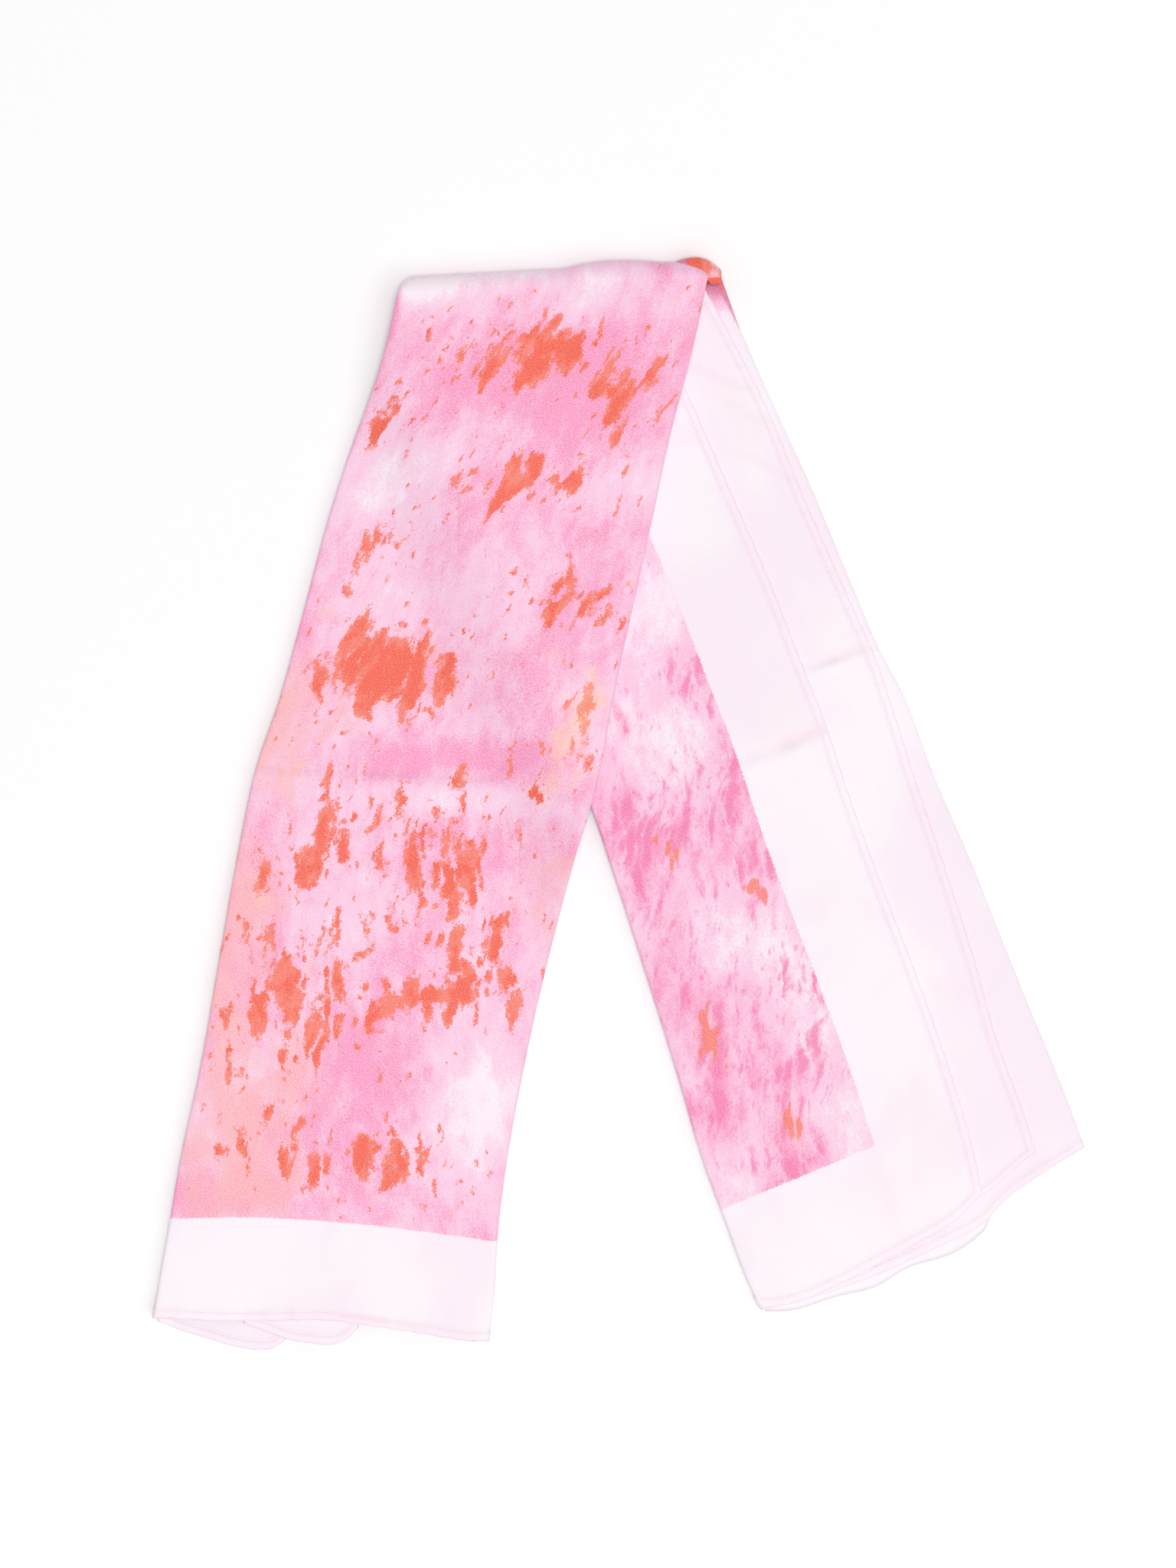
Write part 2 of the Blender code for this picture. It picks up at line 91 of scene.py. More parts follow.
EndPoint = namedtuple("EndPoint", "share reach")
FRONT_END = [EndPoint(*p) for p in (
    (0.0, 0.0), (0.2, -0.3), (0.35, -1.5), (0.5, -2.8), (0.62, -2.2), (0.8, -0.6), (0.92, 0.8), (1.0, 0.3))]
FLAP_END = [EndPoint(*p) for p in (
    (0.0, -0.6), (0.06, 2.2), (0.16, 4.1), (0.3, 4.3), (0.45, 3.8), (0.6, 2.6), (0.7, -1.4), (1.0, -1.4))]
UNDER_FLAP_END = [EndPoint(*p) for p in (
    (0.0, 0.0), (0.5, 0.8), (0.7, -0.8), (0.78, -3.4), (0.86, -6.2), (1.0, -6.2))]
PANEL_END = [EndPoint(*p) for p in (
    (0.0, 0.2), (0.1, 3.6), (0.3, 7.0), (0.5, 8.2), (0.66, 8.0), (0.74, 4.3), (0.86, 2.0), (1.0, 0.3))]
HIDDEN_END = [EndPoint(*p) for p in (
    (0.0, 1.1), (0.08, 5.5), (0.2, 7.8), (0.31, 10.8), (0.42, 10.0), (0.54, 12.4), (0.65, 10.4),
    (0.72, 4.0), (0.86, 1.0), (1.0, -0.6))]

RimPoint = namedtuple("RimPoint", "x y")
END_FOLD_RIM = [RimPoint(*p) for p in (
    (-153.6, -172.4), (-144.6, -175.9), (-136.7, -178.2), (-129.0, -180.6), (-120.3, -182.0),
    (-114.8, -181.4), (-111.0, -178.6))]
END_HEM_RIM = [RimPoint(*p) for p in (
    (-124.6, -173.0), (-117.0, -175.6), (-109.4, -178.4), (-102.3, -179.5), (-95.3, -180.0),
    (-90.6, -178.2), (-86.6, -174.4))]
RIM_INNER_Y = -168.6      # line that the rims run in to, below the front stretch's hem

STRIP = 5.3               # thickness of one leg
FOLD_AXIS = 5.6           # height of the axis that the strip is folded round
LIFT = 2 * FOLD_AXIS - STRIP   # how much higher the left leg lies where the right leg is below it
RAMP = 32.0               # distance beside the right leg over which the left leg comes down
# Heights of the upper faces of the right leg's stretches.
FLAP_TOP = 5.0
UNDER_FLAP_TOP = 3.75
PANEL_TOP = 2.55
HIDDEN_TOP = 1.25
END_BLEND = 30.0          # length of a leg that is stretched or drawn in to the uneven end
FOLD_LEFT_CORNER = 5.9    # how far in from each end of the fold its outline is rounded
FOLD_RIGHT_CORNER = 11.0
ROLL_RETURN = 2.6         # how far the roll's lip curls back in
SLIVER_WIDTH = 2.3        # sliver of the lowest layers that shows beside the side panel, at the fold
SLIVER_LENGTH = 25.0
# How far the fold's outer line stands out past a straight one, by the distance from its left end.
FOLD_BULGE = (
    (0.0, 0.0), (50.0, 0.0), (56.0, 0.1), (62.0, 1.2), (70.0, 1.8), (80.0, 1.4), (90.0, 0.3), (103.0, 0.0))

# The loose roll of inner layers at the right end of the fold: its reach past the fold and its half height.
RollRow = namedtuple("RollRow", "across reach half_height")
ROLL_ROWS = [RollRow(*row) for row in (
    (88.0, 3.2, 2.6), (92.0, 5.4, 3.2), (95.0, 6.4, 3.7), (98.0, 6.85, 4.0), (100.5, 6.7, 4.1),
    (103.0, 5.9, 4.1), (105.0, 4.6, 4.0), (106.5, 3.2, 3.9), (107.6, 1.9, 3.8))]

# Old creases and puckers, in each leg's own measures: a trough on the fold's side of a ridge.
# Shade says how much pink painted shade the trough gets.
Crease = namedtuple("Crease", "inset_0 along_0 inset_1 along_1 trough ridge width shade", defaults=(0.0,))
FRONT_CREASES = [Crease(*row) for row in (
    (-2.0, 168.8, 42.0, 168.9, 0.42, 0.30, 2.4),
    (42.0, 168.9, 78.0, 169.5, 0.50, 0.34, 2.8),
    (78.0, 169.5, 103.0, 174.0, 0.55, 0.36, 3.2),
    (103.0, 174.0, 114.0, 176.5, 0.40, 0.25, 3.0),
    (52.0, -4.0, 61.0, 3.0, 0.75, 0.25, 3.2),
    (10.0, 332.0, 47.0, 338.0, 0.24, 0.10, 5.0),
    (62.0, 354.5, 88.0, 355.1, 0.16, 0.04, 1.3, 1.0),
    (70.0, 60.0, 96.0, 78.0, 0.22, 0.08, 7.0),
    (8.0, 60.0, 20.0, 96.0, 0.25, 0.10, 6.0),
    (88.0, 205.0, 104.0, 240.0, 0.28, 0.10, 6.0),
    (12.0, 214.0, 34.0, 262.0, 0.22, 0.08, 7.0),
)]
FLAP_CREASES = [Crease(*row) for row in (
    (20.0, 171.0, 55.0, 170.8, 0.12, 0.08, 3.0),
    (55.0, 170.8, 70.0, 170.2, 0.28, 0.22, 2.3, 0.4),
    (70.0, 170.2, 83.0, 169.2, 0.42, 0.26, 2.6, 0.7),
    (60.0, 60.0, 74.0, 96.0, 0.15, 0.05, 6.0),
    (30.0, 246.0, 44.0, 300.0, 0.16, 0.05, 7.0),
)]
UNDER_FLAP_CREASES = [Crease(*row) for row in (
    (86.0, 145.6, 94.0, 144.9, 0.30, 0.25, 1.7, 0.5),
    (94.0, 144.9, 104.0, 143.6, 0.38, 0.26, 2.0, 0.6),
    (86.0, 30.0, 103.0, 41.0, 0.18, 0.12, 2.2, 0.2),
    (88.0, 40.0, 104.0, 55.0, 0.16, 0.10, 2.6, 0.2),
    (92.0, 66.0, 104.0, 78.0, 0.18, 0.12, 2.2, 0.2),
    (90.0, 262.0, 103.0, 270.0, 0.14, 0.08, 2.6, 0.2),
)]
PANEL_CREASES = [Crease(*row) for row in (
    (104.0, 146.0, 112.0, 143.0, 0.18, 0.12, 2.0, 0.3),
    (106.0, 212.0, 116.0, 205.0, 0.14, 0.08, 3.0),
    (107.0, 270.0, 117.0, 262.0, 0.14, 0.08, 3.0),
)]

# ---- The print
# Soft zones that say how much of each colour there is, in a leg's own measures.
PRINT_BORDER = 31.5       # plain border between the print and a side hem's edge
PrintAmounts = namedtuple("PrintAmounts", "dabs wash salmon yellow")
Zone = namedtuple("Zone", "inset along half_width half_length dabs wash salmon yellow",
                  defaults=(0.0, 0.0, 0.0))
# Where the front stretch's print ends along it, by the distance from its left fold.
PRINT_END = ((0.0, 319.6), (30.0, 319.0), (60.0, 320.6), (90.0, 323.6), (108.0, 325.6))
FACE_BASE = PrintAmounts(0.02, 0.52, 0.04, 0.0)
FACE_ZONES = [Zone(*row) for row in (
    (4, 0, 14, 7, -0.4, -0.6),
    (0, 4, 1.6, 11, 0.0, 0.9),
    (32, -5, 34, 6, -0.4, -0.5),
    (66, 5, 12, 9, -0.3, -0.45),
    (62, 30, 34, 20, 0.0, 0.6),
    (50, 24, 30, 15, 0.82),
    (90, 42, 16, 14, 0.72),
    (103, 6, 4, 16, 0.5, 0.2, 0.5),
    (10, 44, 14, 12, 0.60, 0.1),
    (58, 70, 24, 12, 0.74, 0.05),
    (20, 90, 16, 14, 0.55, 0.1),
    (92, 96, 22, 24, 0.0, 0.35),
    (84, 106, 20, 12, 0.72),
    (22, 66, 18, 12, -0.1, -0.3),
    (62, 98, 18, 12, -0.1, -0.18),
    (36, 132, 24, 17, 1.20, 0.2, 0.6, 0.1),
    (66, 196, 24, 28, 0.76, 0.2),
    (4, 214, 14, 40, 0.30, -0.02, 0.85, 0.25),
    (28, 186, 9, 26, 0.66, -0.1),
    (88, 236, 18, 20, 0.66),
    (34, 246, 32, 22, 0.72),
    (60, 272, 14, 22, 0.1, 0.3),
    (12, 276, 10, 18, 0.0, -0.35),
    (66, 300, 32, 13, 0.72, 0.05),
    (102, 150, 13, 26, 0.45, -0.1, 0.3, 0.70),
    (4, 150, 16, 20, 0.10, -0.05, 0.8, 0.4),
    (103, 206, 14, 20, 0.05, -0.1, 0.6, 0.15),
    (14, 24, 16, 16, 0.0, 0.1),
    (98, 70, 15, 13, 0.0, -0.40, 0.1),
    # The next two rows are painted shade and painted highlight of the mid crease: a pinker band above it and
    # a paler band below.
    (62, 162, 36, 7, 0.0, 0.45),
    (74, 177, 32, 6, -0.1, -0.4),
    (48, 212, 10, 16, 0.0, -0.15),
    (20, 290, 24, 40, 0.16, 0.1, 0.9),
    (96, 276, 13, 16, -0.3, -0.6),
    (16, 312, 26, 9, -0.1, 0.3, 0.15),
)]
FLAP_BASE = PrintAmounts(0.02, 0.36, 0.0, 0.0)
FLAP_ZONES = [Zone(*row) for row in (
    (36, 108, 26, 18, -0.1, -0.35),
    (16, 142, 10, 12, 0.66, -0.25),
    (46, 140, 10, 14, 0.62, -0.1),
    (34, 160, 12, 14, 0.0, -0.35),
    (50, 174, 12, 12, 0.60, 0.15),
    (18, 180, 24, 19, 0.84, 0.24),
    (46, 206, 12, 13, 0.60, 0.1),
    (10, 208, 12, 34, 0.35, 0.20),
    (34, 226, 14, 12, -0.1, -0.45),
    (48, 250, 12, 24, 0.62, -0.3),
    (20, 248, 15, 22, 0.55, 0.32),
    (10, 276, 12, 16, 0.50, 0.45),
    (36, 274, 10, 9, 0.50, 0.2),
    (50, 298, 10, 14, -0.1, -0.4),
    (28, 298, 15, 14, 0.62, 0.4),
    (14, 252, 5, 15, 0.0, 0.0, 0.62),
    (32, 288, 5, 10, 0.0, 0.0, 0.62),
    (44, 212, 4, 7, 0.0, 0.0, 0.56),
    (20, 188, 5, 8, 0.0, 0.0, 0.50),
)]
ROLL_BASE = PrintAmounts(1.0, 0.6, 0.9, 0.2)
PLAIN = PrintAmounts(0.0, 0.0, 0.0, 0.0)
NO_PRINT = -50.0          # a distance inside the print's edge that keeps the whole piece plain
# The two sides of the print. The leans say how far the dabs lean across the strip for each millimetre along
# it, parted how much sparser their fused patches are, and weave how clearly the pale floats show.
PrintSide = namedtuple("PrintSide", "lean_at_fold lean_at_hem parted dab_scale weave roughness")
FACE = PrintSide(-0.17, 0.20, 0.0, 1.0, 0.22, 0.54)
WRONG_SIDE = PrintSide(-0.34, -0.26, 0.15, 0.62, 0.30, 0.62)


def linear(red, green, blue):
    """A colour as a screen shows it, from 0 to 255, as the linear colour that shaders take."""
    shown = np.array((red, green, blue)) / 255
    return tuple(np.where(shown <= 0.04045, shown / 12.92, ((shown + 0.055) / 1.055) ** 2.4).tolist())


# ---- Settings that a user would change
def length_setting(name, description, default):
    return bpy.props.FloatProperty(
        name=name, description=description, default=default, min=0.0, unit="LENGTH", precision=5)


def place_setting(name, default):
    return bpy.props.FloatProperty(
        name=name, description="Place below the camera", default=default, unit="LENGTH", precision=5)


def power_setting(name, description, default):
    return bpy.props.FloatProperty(name=name, description=description, default=default, min=0.0, unit="POWER")


def colour_setting(name, description, default):
    return bpy.props.FloatVectorProperty(
        name=name, description=description, default=default, size=3, min=0.0, max=1.0, subtype="COLOR")


class BandanaCloth(bpy.types.PropertyGroup):
    """Sizes of the cloth and its sewing"""
    thickness: length_setting("Thickness", "Thickness of the satin", 0.00035)
    spacing: length_setting("Grid spacing", "Spacing of the cloth's grid lines", 0.0013)
    hem_width: length_setting("Hem width", "Width of the turned hem", 0.0034)
    hem_fold: length_setting("Hem fold radius", "Outer radius of the hem's folded edge", 0.00032)
    stitch_pitch: length_setting("Stitch pitch", "From one stitch to the next", 0.0017)
    stitch_inset: length_setting("Stitch inset", "From the hem's edge to its line of stitches", 0.0026)
    thread: length_setting("Thread", "Thickness of the sewing thread", 0.00030)
    swell: length_setting("Swell", "Height of the slow waves in the top layers", 0.00045)


class BandanaPrint(bpy.types.PropertyGroup):
    """Colours and sizes of the print"""
    plain: colour_setting("Plain satin", "Unprinted border and wrong side", linear(251, 243, 249))
    tinted: colour_setting("Tinted satin", "Faint pink blooms of the plain satin", linear(248, 232, 243))
    pale: colour_setting("Pale ground", "Lightest ground inside the print", linear(251, 236, 246))
    blush: colour_setting("Blush", "Light pink wash", linear(250, 200, 226))
    pink: colour_setting("Pink", "Full pink wash", linear(249, 148, 192))
    salmon: colour_setting("Salmon", "Salmon wash", linear(250, 172, 176))
    peach: colour_setting("Peach", "Peach and yellow wash", linear(255, 206, 170))
    coral: colour_setting("Coral", "Light parts of the dabs", linear(246, 122, 98))
    orange: colour_setting("Orange", "Full colour of the dabs", linear(244, 88, 48))
    magenta: colour_setting("Magenta", "Dabs that show through on the wrong side", linear(244, 122, 174))
    # Painted shade: the print as it looks in the shade deep inside the fold.
    mauve: colour_setting("Mauve", "Shaded print inside the fold", linear(208, 112, 148))
    dab_width: length_setting("Dab width", "Spacing of the dabs across the strip", 0.0080)
    dab_length: length_setting("Dab length", "Spacing of the dabs along the strip", 0.0250)
    weave: length_setting("Weave", "Spacing of the weave's floats", 0.00053)


class BandanaStage(bpy.types.PropertyGroup):
    """The studio: floor, light and camera"""
    floor: colour_setting("Floor", "Colour of the floor", linear(254, 254, 254))
    light_from_all: bpy.props.FloatProperty(
        name="Light from all sides", description="Strength of the even studio light", default=0.46, min=0.0)
    overhead: power_setting("Overhead light", "Power of the light above", 88.0)
    side: power_setting("Side light", "Power of the broad light at the lower right", 40.0)
    camera_height: length_setting("Camera height", "Height of the camera above the surface", 2.0)
    framed_height: length_setting("Framed height", "Length of surface that the picture takes", 0.5233)
    centre_x: place_setting("Picture centre X", -0.0100)
    centre_y: place_setting("Picture centre Y", 0.0068)


# ---- Curves through the rows
def smooth_step(low, high, value):
    """0 below low, 1 above high, with level ends."""
    share = np.clip((value - low) / (high - low), 0.0, 1.0)
    return share * share * (3 - 2 * share)


def curve_value(stations, values, at):
    """A smooth curve through the values at their stations."""
    stations, values = np.asarray(stations, float), np.asarray(values, float)
    last = len(stations) - 1
    at = np.clip(at, stations[0], stations[-1])
    span = np.clip(np.searchsorted(stations, at) - 1, 0, last - 1)
    low, high = np.maximum(span - 1, 0), np.minimum(span + 2, last)
    length = stations[span + 1] - stations[span]
    share = (at - stations[span]) / length
    slope_0 = (values[span + 1] - values[low]) / (stations[span + 1] - stations[low])
    slope_1 = (values[high] - values[span]) / (stations[high] - stations[span])
    square, cube = share ** 2, share ** 3
    return (values[span] * (2 * cube - 3 * square + 1)
            + slope_0 * length * (cube - 2 * square + share)
            + values[span + 1] * (3 * square - 2 * cube)
            + slope_1 * length * (cube - square))


class Leg:
    """One leg of the strip in plan, between the curves of its left and right folds."""

    def __init__(self, rows):
        self.names = rows[0]._fields
        self.table = np.array(rows)
        middles = (self.table[:, 0:2] + self.table[:, 2:4]) / 2
        steps = np.linalg.norm(np.diff(middles, axis=0), axis=1)
        self.stations = np.concatenate([[0.0], np.cumsum(steps)])
        self.length = float(self.stations[-1])

    def column(self, name, along):
        """A column of the rows' table at distances along the leg."""
        return curve_value(self.stations, self.table[:, self.names.index(name)], along)

    def edges(self, along):
        """The left and right ends of the rows at distances from the fold, also a little past the hem."""
        left = np.stack([self.column("left_x", along), self.column("left_y", along)], axis=-1)
        right = np.stack([self.column("right_x", along), self.column("right_y", along)], axis=-1)
        across = (right - left) / np.linalg.norm(right - left, axis=-1, keepdims=True)
        past = np.maximum(along - self.length, 0.0)[..., None]
        past_hem = np.stack([across[..., 1], -across[..., 0]], axis=-1) * past
        return left + past_hem, right + past_hem, across

    def width(self, along):
        left, right, _ = self.edges(along)
        return np.linalg.norm(right - left, axis=-1)

    def point(self, inset, along):
        """Plan points at insets from the left fold and distances from the fold across."""
        left, _, across = self.edges(along)
        return left + across * np.asarray(inset)[..., None]


left_leg = Leg(LEFT_ROWS)
right_leg = Leg(RIGHT_ROWS)
FOLD_WIDTH = float(left_leg.width(np.array(0.0)))
FOLD_ACROSS = left_leg.edges(np.array(0.0))[2]
FOLD_OUTWARD = np.array([-FOLD_ACROSS[1], FOLD_ACROSS[0]])
BORDER_POINTS = 400       # points along the right leg's left fold, to measure from
BATCH = 4000              # how many points are measured at once, to save memory
border, _, border_across = right_leg.edges(np.linspace(0.0, right_leg.length, BORDER_POINTS))


def support_under(plan):
    """1 where the left leg lies on the right leg, falling to 0 where it lies on the surface."""
    points = plan.reshape(-1, 2)
    support = np.empty(len(points))
    for start in range(0, len(points), BATCH):
        offset = points[start:start + BATCH, None, :] - border[None]
        apart = np.linalg.norm(offset, axis=2)
        nearest = apart.argmin(axis=1)
        chosen = np.arange(len(apart)), nearest
        inward = (offset[chosen] * border_across[nearest]).sum(axis=1)
        support[start:start + BATCH] = np.where(inward >= 0, 1.0, 1.0 - smooth_step(0.0, RAMP, apart[chosen]))
    return support.reshape(plan.shape[:-1])


def with_reach(leg, points, inset, along):
    """The distance along a leg, stretched near its hem to the uneven end."""
    share = inset / leg.width(np.minimum(along, leg.length))
    reach = curve_value(*zip(*points), share)
    return along + reach * smooth_step(leg.length - END_BLEND, leg.length, along)


def crease_profile(crease, inset, along):
    """From 0 to 1, how much of a crease's trough and of its ridge beside it there is at places of a leg."""
    run_x, run_y = crease.inset_1 - crease.inset_0, crease.along_1 - crease.along_0
    length = np.hypot(run_x, run_y)
    forward = ((inset - crease.inset_0) * run_x + (along - crease.along_0) * run_y) / length
    side = ((along - crease.along_0) * run_x - (inset - crease.inset_0) * run_y) / length
    past_end = np.maximum(np.maximum(-forward, forward - length), 0.0)
    fade = np.exp(-(past_end / (1.6 * crease.width)) ** 2)
    return (fade * np.exp(-((side + 0.8 * crease.width) / crease.width) ** 2),
            fade * np.exp(-((side - 0.8 * crease.width) / crease.width) ** 2))


def crease_height(creases, inset, along):
    """The height that old creases add."""
    height = np.zeros(np.broadcast(inset, along).shape)
    for crease in creases:
        trough, ridge = crease_profile(crease, inset, along)
        height += crease.ridge * ridge - crease.trough * trough
    return height


def crease_shade(creases, inset, along):
    """How much pink painted shade the troughs of old creases get."""
    shade = np.zeros(np.broadcast(inset, along).shape)
    for crease in creases:
        shade += crease.shade * crease_profile(crease, inset, along)[0]
    return shade


def swell_height(x, y, z, cloth):
    """Slow waves of the cloth in the air between its layers: none where it rests, most at the top."""
    waves = (np.sin(0.071 * x + 0.043 * y + 1.3) + 0.8 * np.sin(0.038 * x - 0.088 * y + 0.4)
             + 0.5 * np.sin(0.131 * x + 0.102 * y + 4.1) + 0.35 * np.sin(-0.19 * x + 0.16 * y + 2.2))
    return cloth.swell / MM * 0.55 * waves * z / (2 * FOLD_AXIS)


def raised(position, cloth):
    """Positions with the slow waves added."""
    position[..., 2] += swell_height(position[..., 0], position[..., 1], position[..., 2], cloth)
    return position


# ---- Where cloth lies
def on_left_leg(inset, along, depth, cloth):
    """Points of the left leg at a depth below the strip's face. Below 0, along runs round the fold."""
    on_leg = np.maximum(along, 0.0)
    plan = left_leg.point(inset, with_reach(left_leg, FRONT_END, inset, on_leg))
    height = 2 * FOLD_AXIS - depth - LIFT * (1 - support_under(plan))
    angle = np.clip(-along / FOLD_AXIS, 0.0, np.pi)
    radius = FOLD_AXIS - depth
    from_left = np.clip(inset / FOLD_LEFT_CORNER, 0.0, 1.0)
    from_right = np.clip((FOLD_WIDTH - inset) / FOLD_RIGHT_CORNER, 0.0, 1.0)
    roundness = np.sqrt(1 - (1 - from_left) ** 2) * np.sqrt(1 - (1 - from_right) ** 2)
    bulge = curve_value(*zip(*FOLD_BULGE), np.clip(inset, 0.0, FOLD_WIDTH))
    plan = plan + FOLD_OUTWARD * ((radius + bulge) * roundness * np.sin(angle))[..., None]
    height = np.where(along < 0, FOLD_AXIS + radius * np.cos(angle), height)
    return raised(np.concatenate([plan, height[..., None]], axis=-1), cloth)


def on_right_leg(inset, along, height, end_points, cloth):
    """Points of the right leg at a height above the surface."""
    plan = right_leg.point(inset, with_reach(right_leg, end_points, inset, along))
    height = np.broadcast_to(height, plan.shape[:-1])
    return raised(np.concatenate([plan, height[..., None]], axis=-1), cloth)


def lip(beyond, radius):
    """Cloth that runs on past a rounded edge: how far it stands out, and how far it has dropped."""
    angle = np.minimum(beyond / radius, np.pi)
    out = radius * np.sin(angle) - np.maximum(beyond - np.pi * radius, 0.0)
    return out, radius * (1 - np.cos(angle))


def lip_steps(radius, run, turns=6, under=2):
    """Distances past an edge for a half-turn of a radius and a run back below it."""
    half_turn = np.pi * radius
    return np.concatenate([half_turn * np.arange(1, turns + 1) / turns,
                           half_turn + run * np.arange(1, under + 1) / under])


Fold = namedtuple("Fold", "radius run")
Strip = namedtuple("Strip", "inset drop flat_inset")


def across_strip(start, end, left, right, shares):
    """Columns across a stretch between two folded edges: insets, drops, and insets on the flat cloth."""
    left_out, right_out = lip_steps(*left)[::-1], lip_steps(*right)
    left_lip, left_drop = lip(left_out, left.radius)
    right_lip, right_drop = lip(right_out, right.radius)
    first, last = start + left.radius, end - right.radius
    inset = np.concatenate([first[:, None] - left_lip[None],
                            first[:, None] + (last - first)[:, None] * shares[None],
                            last[:, None] + right_lip[None]], axis=1)
    level = np.zeros(len(shares))
    drop = np.concatenate([left_drop, level, right_drop])
    beyond = np.concatenate([-left_out, level, right_out])
    return Strip(inset, np.broadcast_to(drop, inset.shape), inset + beyond)


def even_shares(length, spacing):
    return np.linspace(0.0, 1.0, max(2, int(round(length / spacing)) + 1))


CLOSE_BAND = 5.0          # width of the band beside a hem's edge that has closer grid lines
CLOSE_LINES = 10
CLOSE_GAP = 0.3           # the least gap between the band's first line and the one before it


def with_close_edge(shares, length):
    """Shares of a length, with closer ones in a band at its far end."""
    band = np.linspace(1 - CLOSE_BAND / length, 1.0, CLOSE_LINES)
    return np.concatenate([shares[shares < band[0] - CLOSE_GAP / length], band])


HEM_RISE = 0.2            # how far the turned hem stands above the single cloth beside it


def hem_height(distance, along_edge, cloth, sharp=0.6):
    """The hem's relief at a distance from its edge: a doubled band, its line of stitches and puckers."""
    hem, seam = cloth.hem_width / MM, cloth.stitch_inset / MM
    band = HEM_RISE * smooth_step(hem + sharp, hem - 0.1, distance)
    lip_ridge = 0.08 * np.exp(-((distance - hem + 0.25) / 0.4) ** 2)
    groove = 0.16 * np.exp(-((distance - seam) / 0.45) ** 2)
    uneven = (np.sin(along_edge * 0.83) + 0.7 * np.sin(along_edge * 1.37 + 1.0)
              + 0.5 * np.sin(along_edge * 2.3 + 2.0))
    gather = 1.0 + 0.8 * np.sin(along_edge * 0.11 + 0.6) * np.sin(along_edge * 0.047 + 2.0)
    pucker = 0.065 * gather * uneven * np.exp(-(distance / 6.0) ** 2) * smooth_step(0.0, 1.0, distance)
    return band + lip_ridge - groove + pucker


def scallop(along_edge):
    """How the stitches draw a hem's edge in and out."""
    return 0.09 * np.sin(along_edge * 0.79 + 0.5) + 0.07 * np.sin(along_edge * 1.43 + 2.0)


# ---- Meshes
def print_amounts(base, inset, along, zones=(), **own):
    """How much of each colour the print has at places of a leg, with a piece's own amounts; seam and mauve
    are painted shade.
    """
    shape = np.broadcast(inset, along).shape
    amounts = {name: np.full(shape, value) for name, value in base._asdict().items()}
    for zone in zones:
        spread = np.exp(-((inset - zone.inset) / zone.half_width) ** 2
                        - ((along - zone.along) / zone.half_length) ** 2)
        for name in amounts:
            amounts[name] += getattr(zone, name) * spread
    return {**amounts, "seam": 0.0, "mauve": 0.0, "inside": NO_PRINT, **own}


def painted_seam_shade(distance, shade, cloth):
    """How much pink painted shade the cloth gets at a distance from a hem's edge, along its line of stitches,
    and in a crease.
    """
    seam = 0.8 * np.exp(-((distance - cloth.stitch_inset / MM) / 0.6) ** 2)
    fold = np.exp(-(np.maximum(distance, 0.0) / 0.5) ** 2)
    return np.maximum(np.maximum(seam, fold), shade)


def mesh_of(name, shape):
    """The mesh of a bmesh, which is freed."""
    mesh = bpy.data.meshes.new(name)
    shape.to_mesh(mesh)
    shape.free()
    return mesh


def in_scene(name, mesh, finishes):
    """A new object in the scene, with its finishes."""
    for finish in finishes:
        mesh.materials.append(finish_of(finish))
    piece = bpy.data.objects.new(name, mesh)
    bpy.context.scene.collection.objects.link(piece)
    return piece


def cloth_piece(name, position, flat, amounts, finishes, cloth, closed=False):
    """A grid of cloth as an object, by rows and columns, in millimetres. flat is across and along the cut."""
    rows, columns = position.shape[:2]
    shape = bmesh.new()
    bmesh.ops.create_grid(shape, x_segments=columns - 1, y_segments=rows - 1, size=1.0)
    mesh = mesh_of(name, shape)
    grid = np.empty(len(mesh.vertices) * 3, np.float32)
    mesh.vertices.foreach_get("co", grid)
    grid = (grid.reshape(-1, 3) + 1) / 2
    column = np.rint(grid[:, 0] * (columns - 1)).astype(int)
    row = np.rint(grid[:, 1] * (rows - 1)).astype(int)
    mesh.vertices.foreach_set("co", (position[row, column] * MM).astype(np.float32).ravel())
    for amount, values in amounts.items():
        layer = mesh.attributes.new(amount, "FLOAT", "POINT")
        values = np.broadcast_to(values, (rows, columns))[row, column]
        layer.data.foreach_set("value", values.astype(np.float32))
    corner = np.empty(len(mesh.loops), np.int32)
    mesh.loops.foreach_get("vertex_index", corner)
    places = np.stack(np.broadcast_arrays(*flat), axis=-1)[row, column] * MM
    mesh.uv_layers.new(name="cloth").data.foreach_set("uv", places[corner].astype(np.float32).ravel())
    if closed:
        weld(mesh)
    mesh.shade_smooth()
    piece = in_scene(name, mesh, finishes)
    wall = piece.modifiers.new("Cloth thickness", "SOLIDIFY")
    wall.thickness = cloth.thickness
    wall.offset = -1.0
    wall.material_offset = len(finishes) - 1
    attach(piece, "root")
    return piece


def weld(mesh):
    """Close a tube of cloth where its first and last columns meet."""
    shape = bmesh.new()
    shape.from_mesh(mesh)
    bmesh.ops.remove_doubles(shape, verts=shape.verts, dist=0.001 * MM)
    shape.to_mesh(mesh)
    shape.free()


def joined(name, pieces):
    """Several like pieces as one object."""
    with bpy.context.temp_override(active_object=pieces[0], selected_editable_objects=pieces):
        bpy.ops.object.join()
    pieces[0].name = pieces[0].data.name = name
    return pieces[0]


def stands_for(node):
    """Let cloth stand for a node: the node's own part is hidden."""
    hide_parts(node)


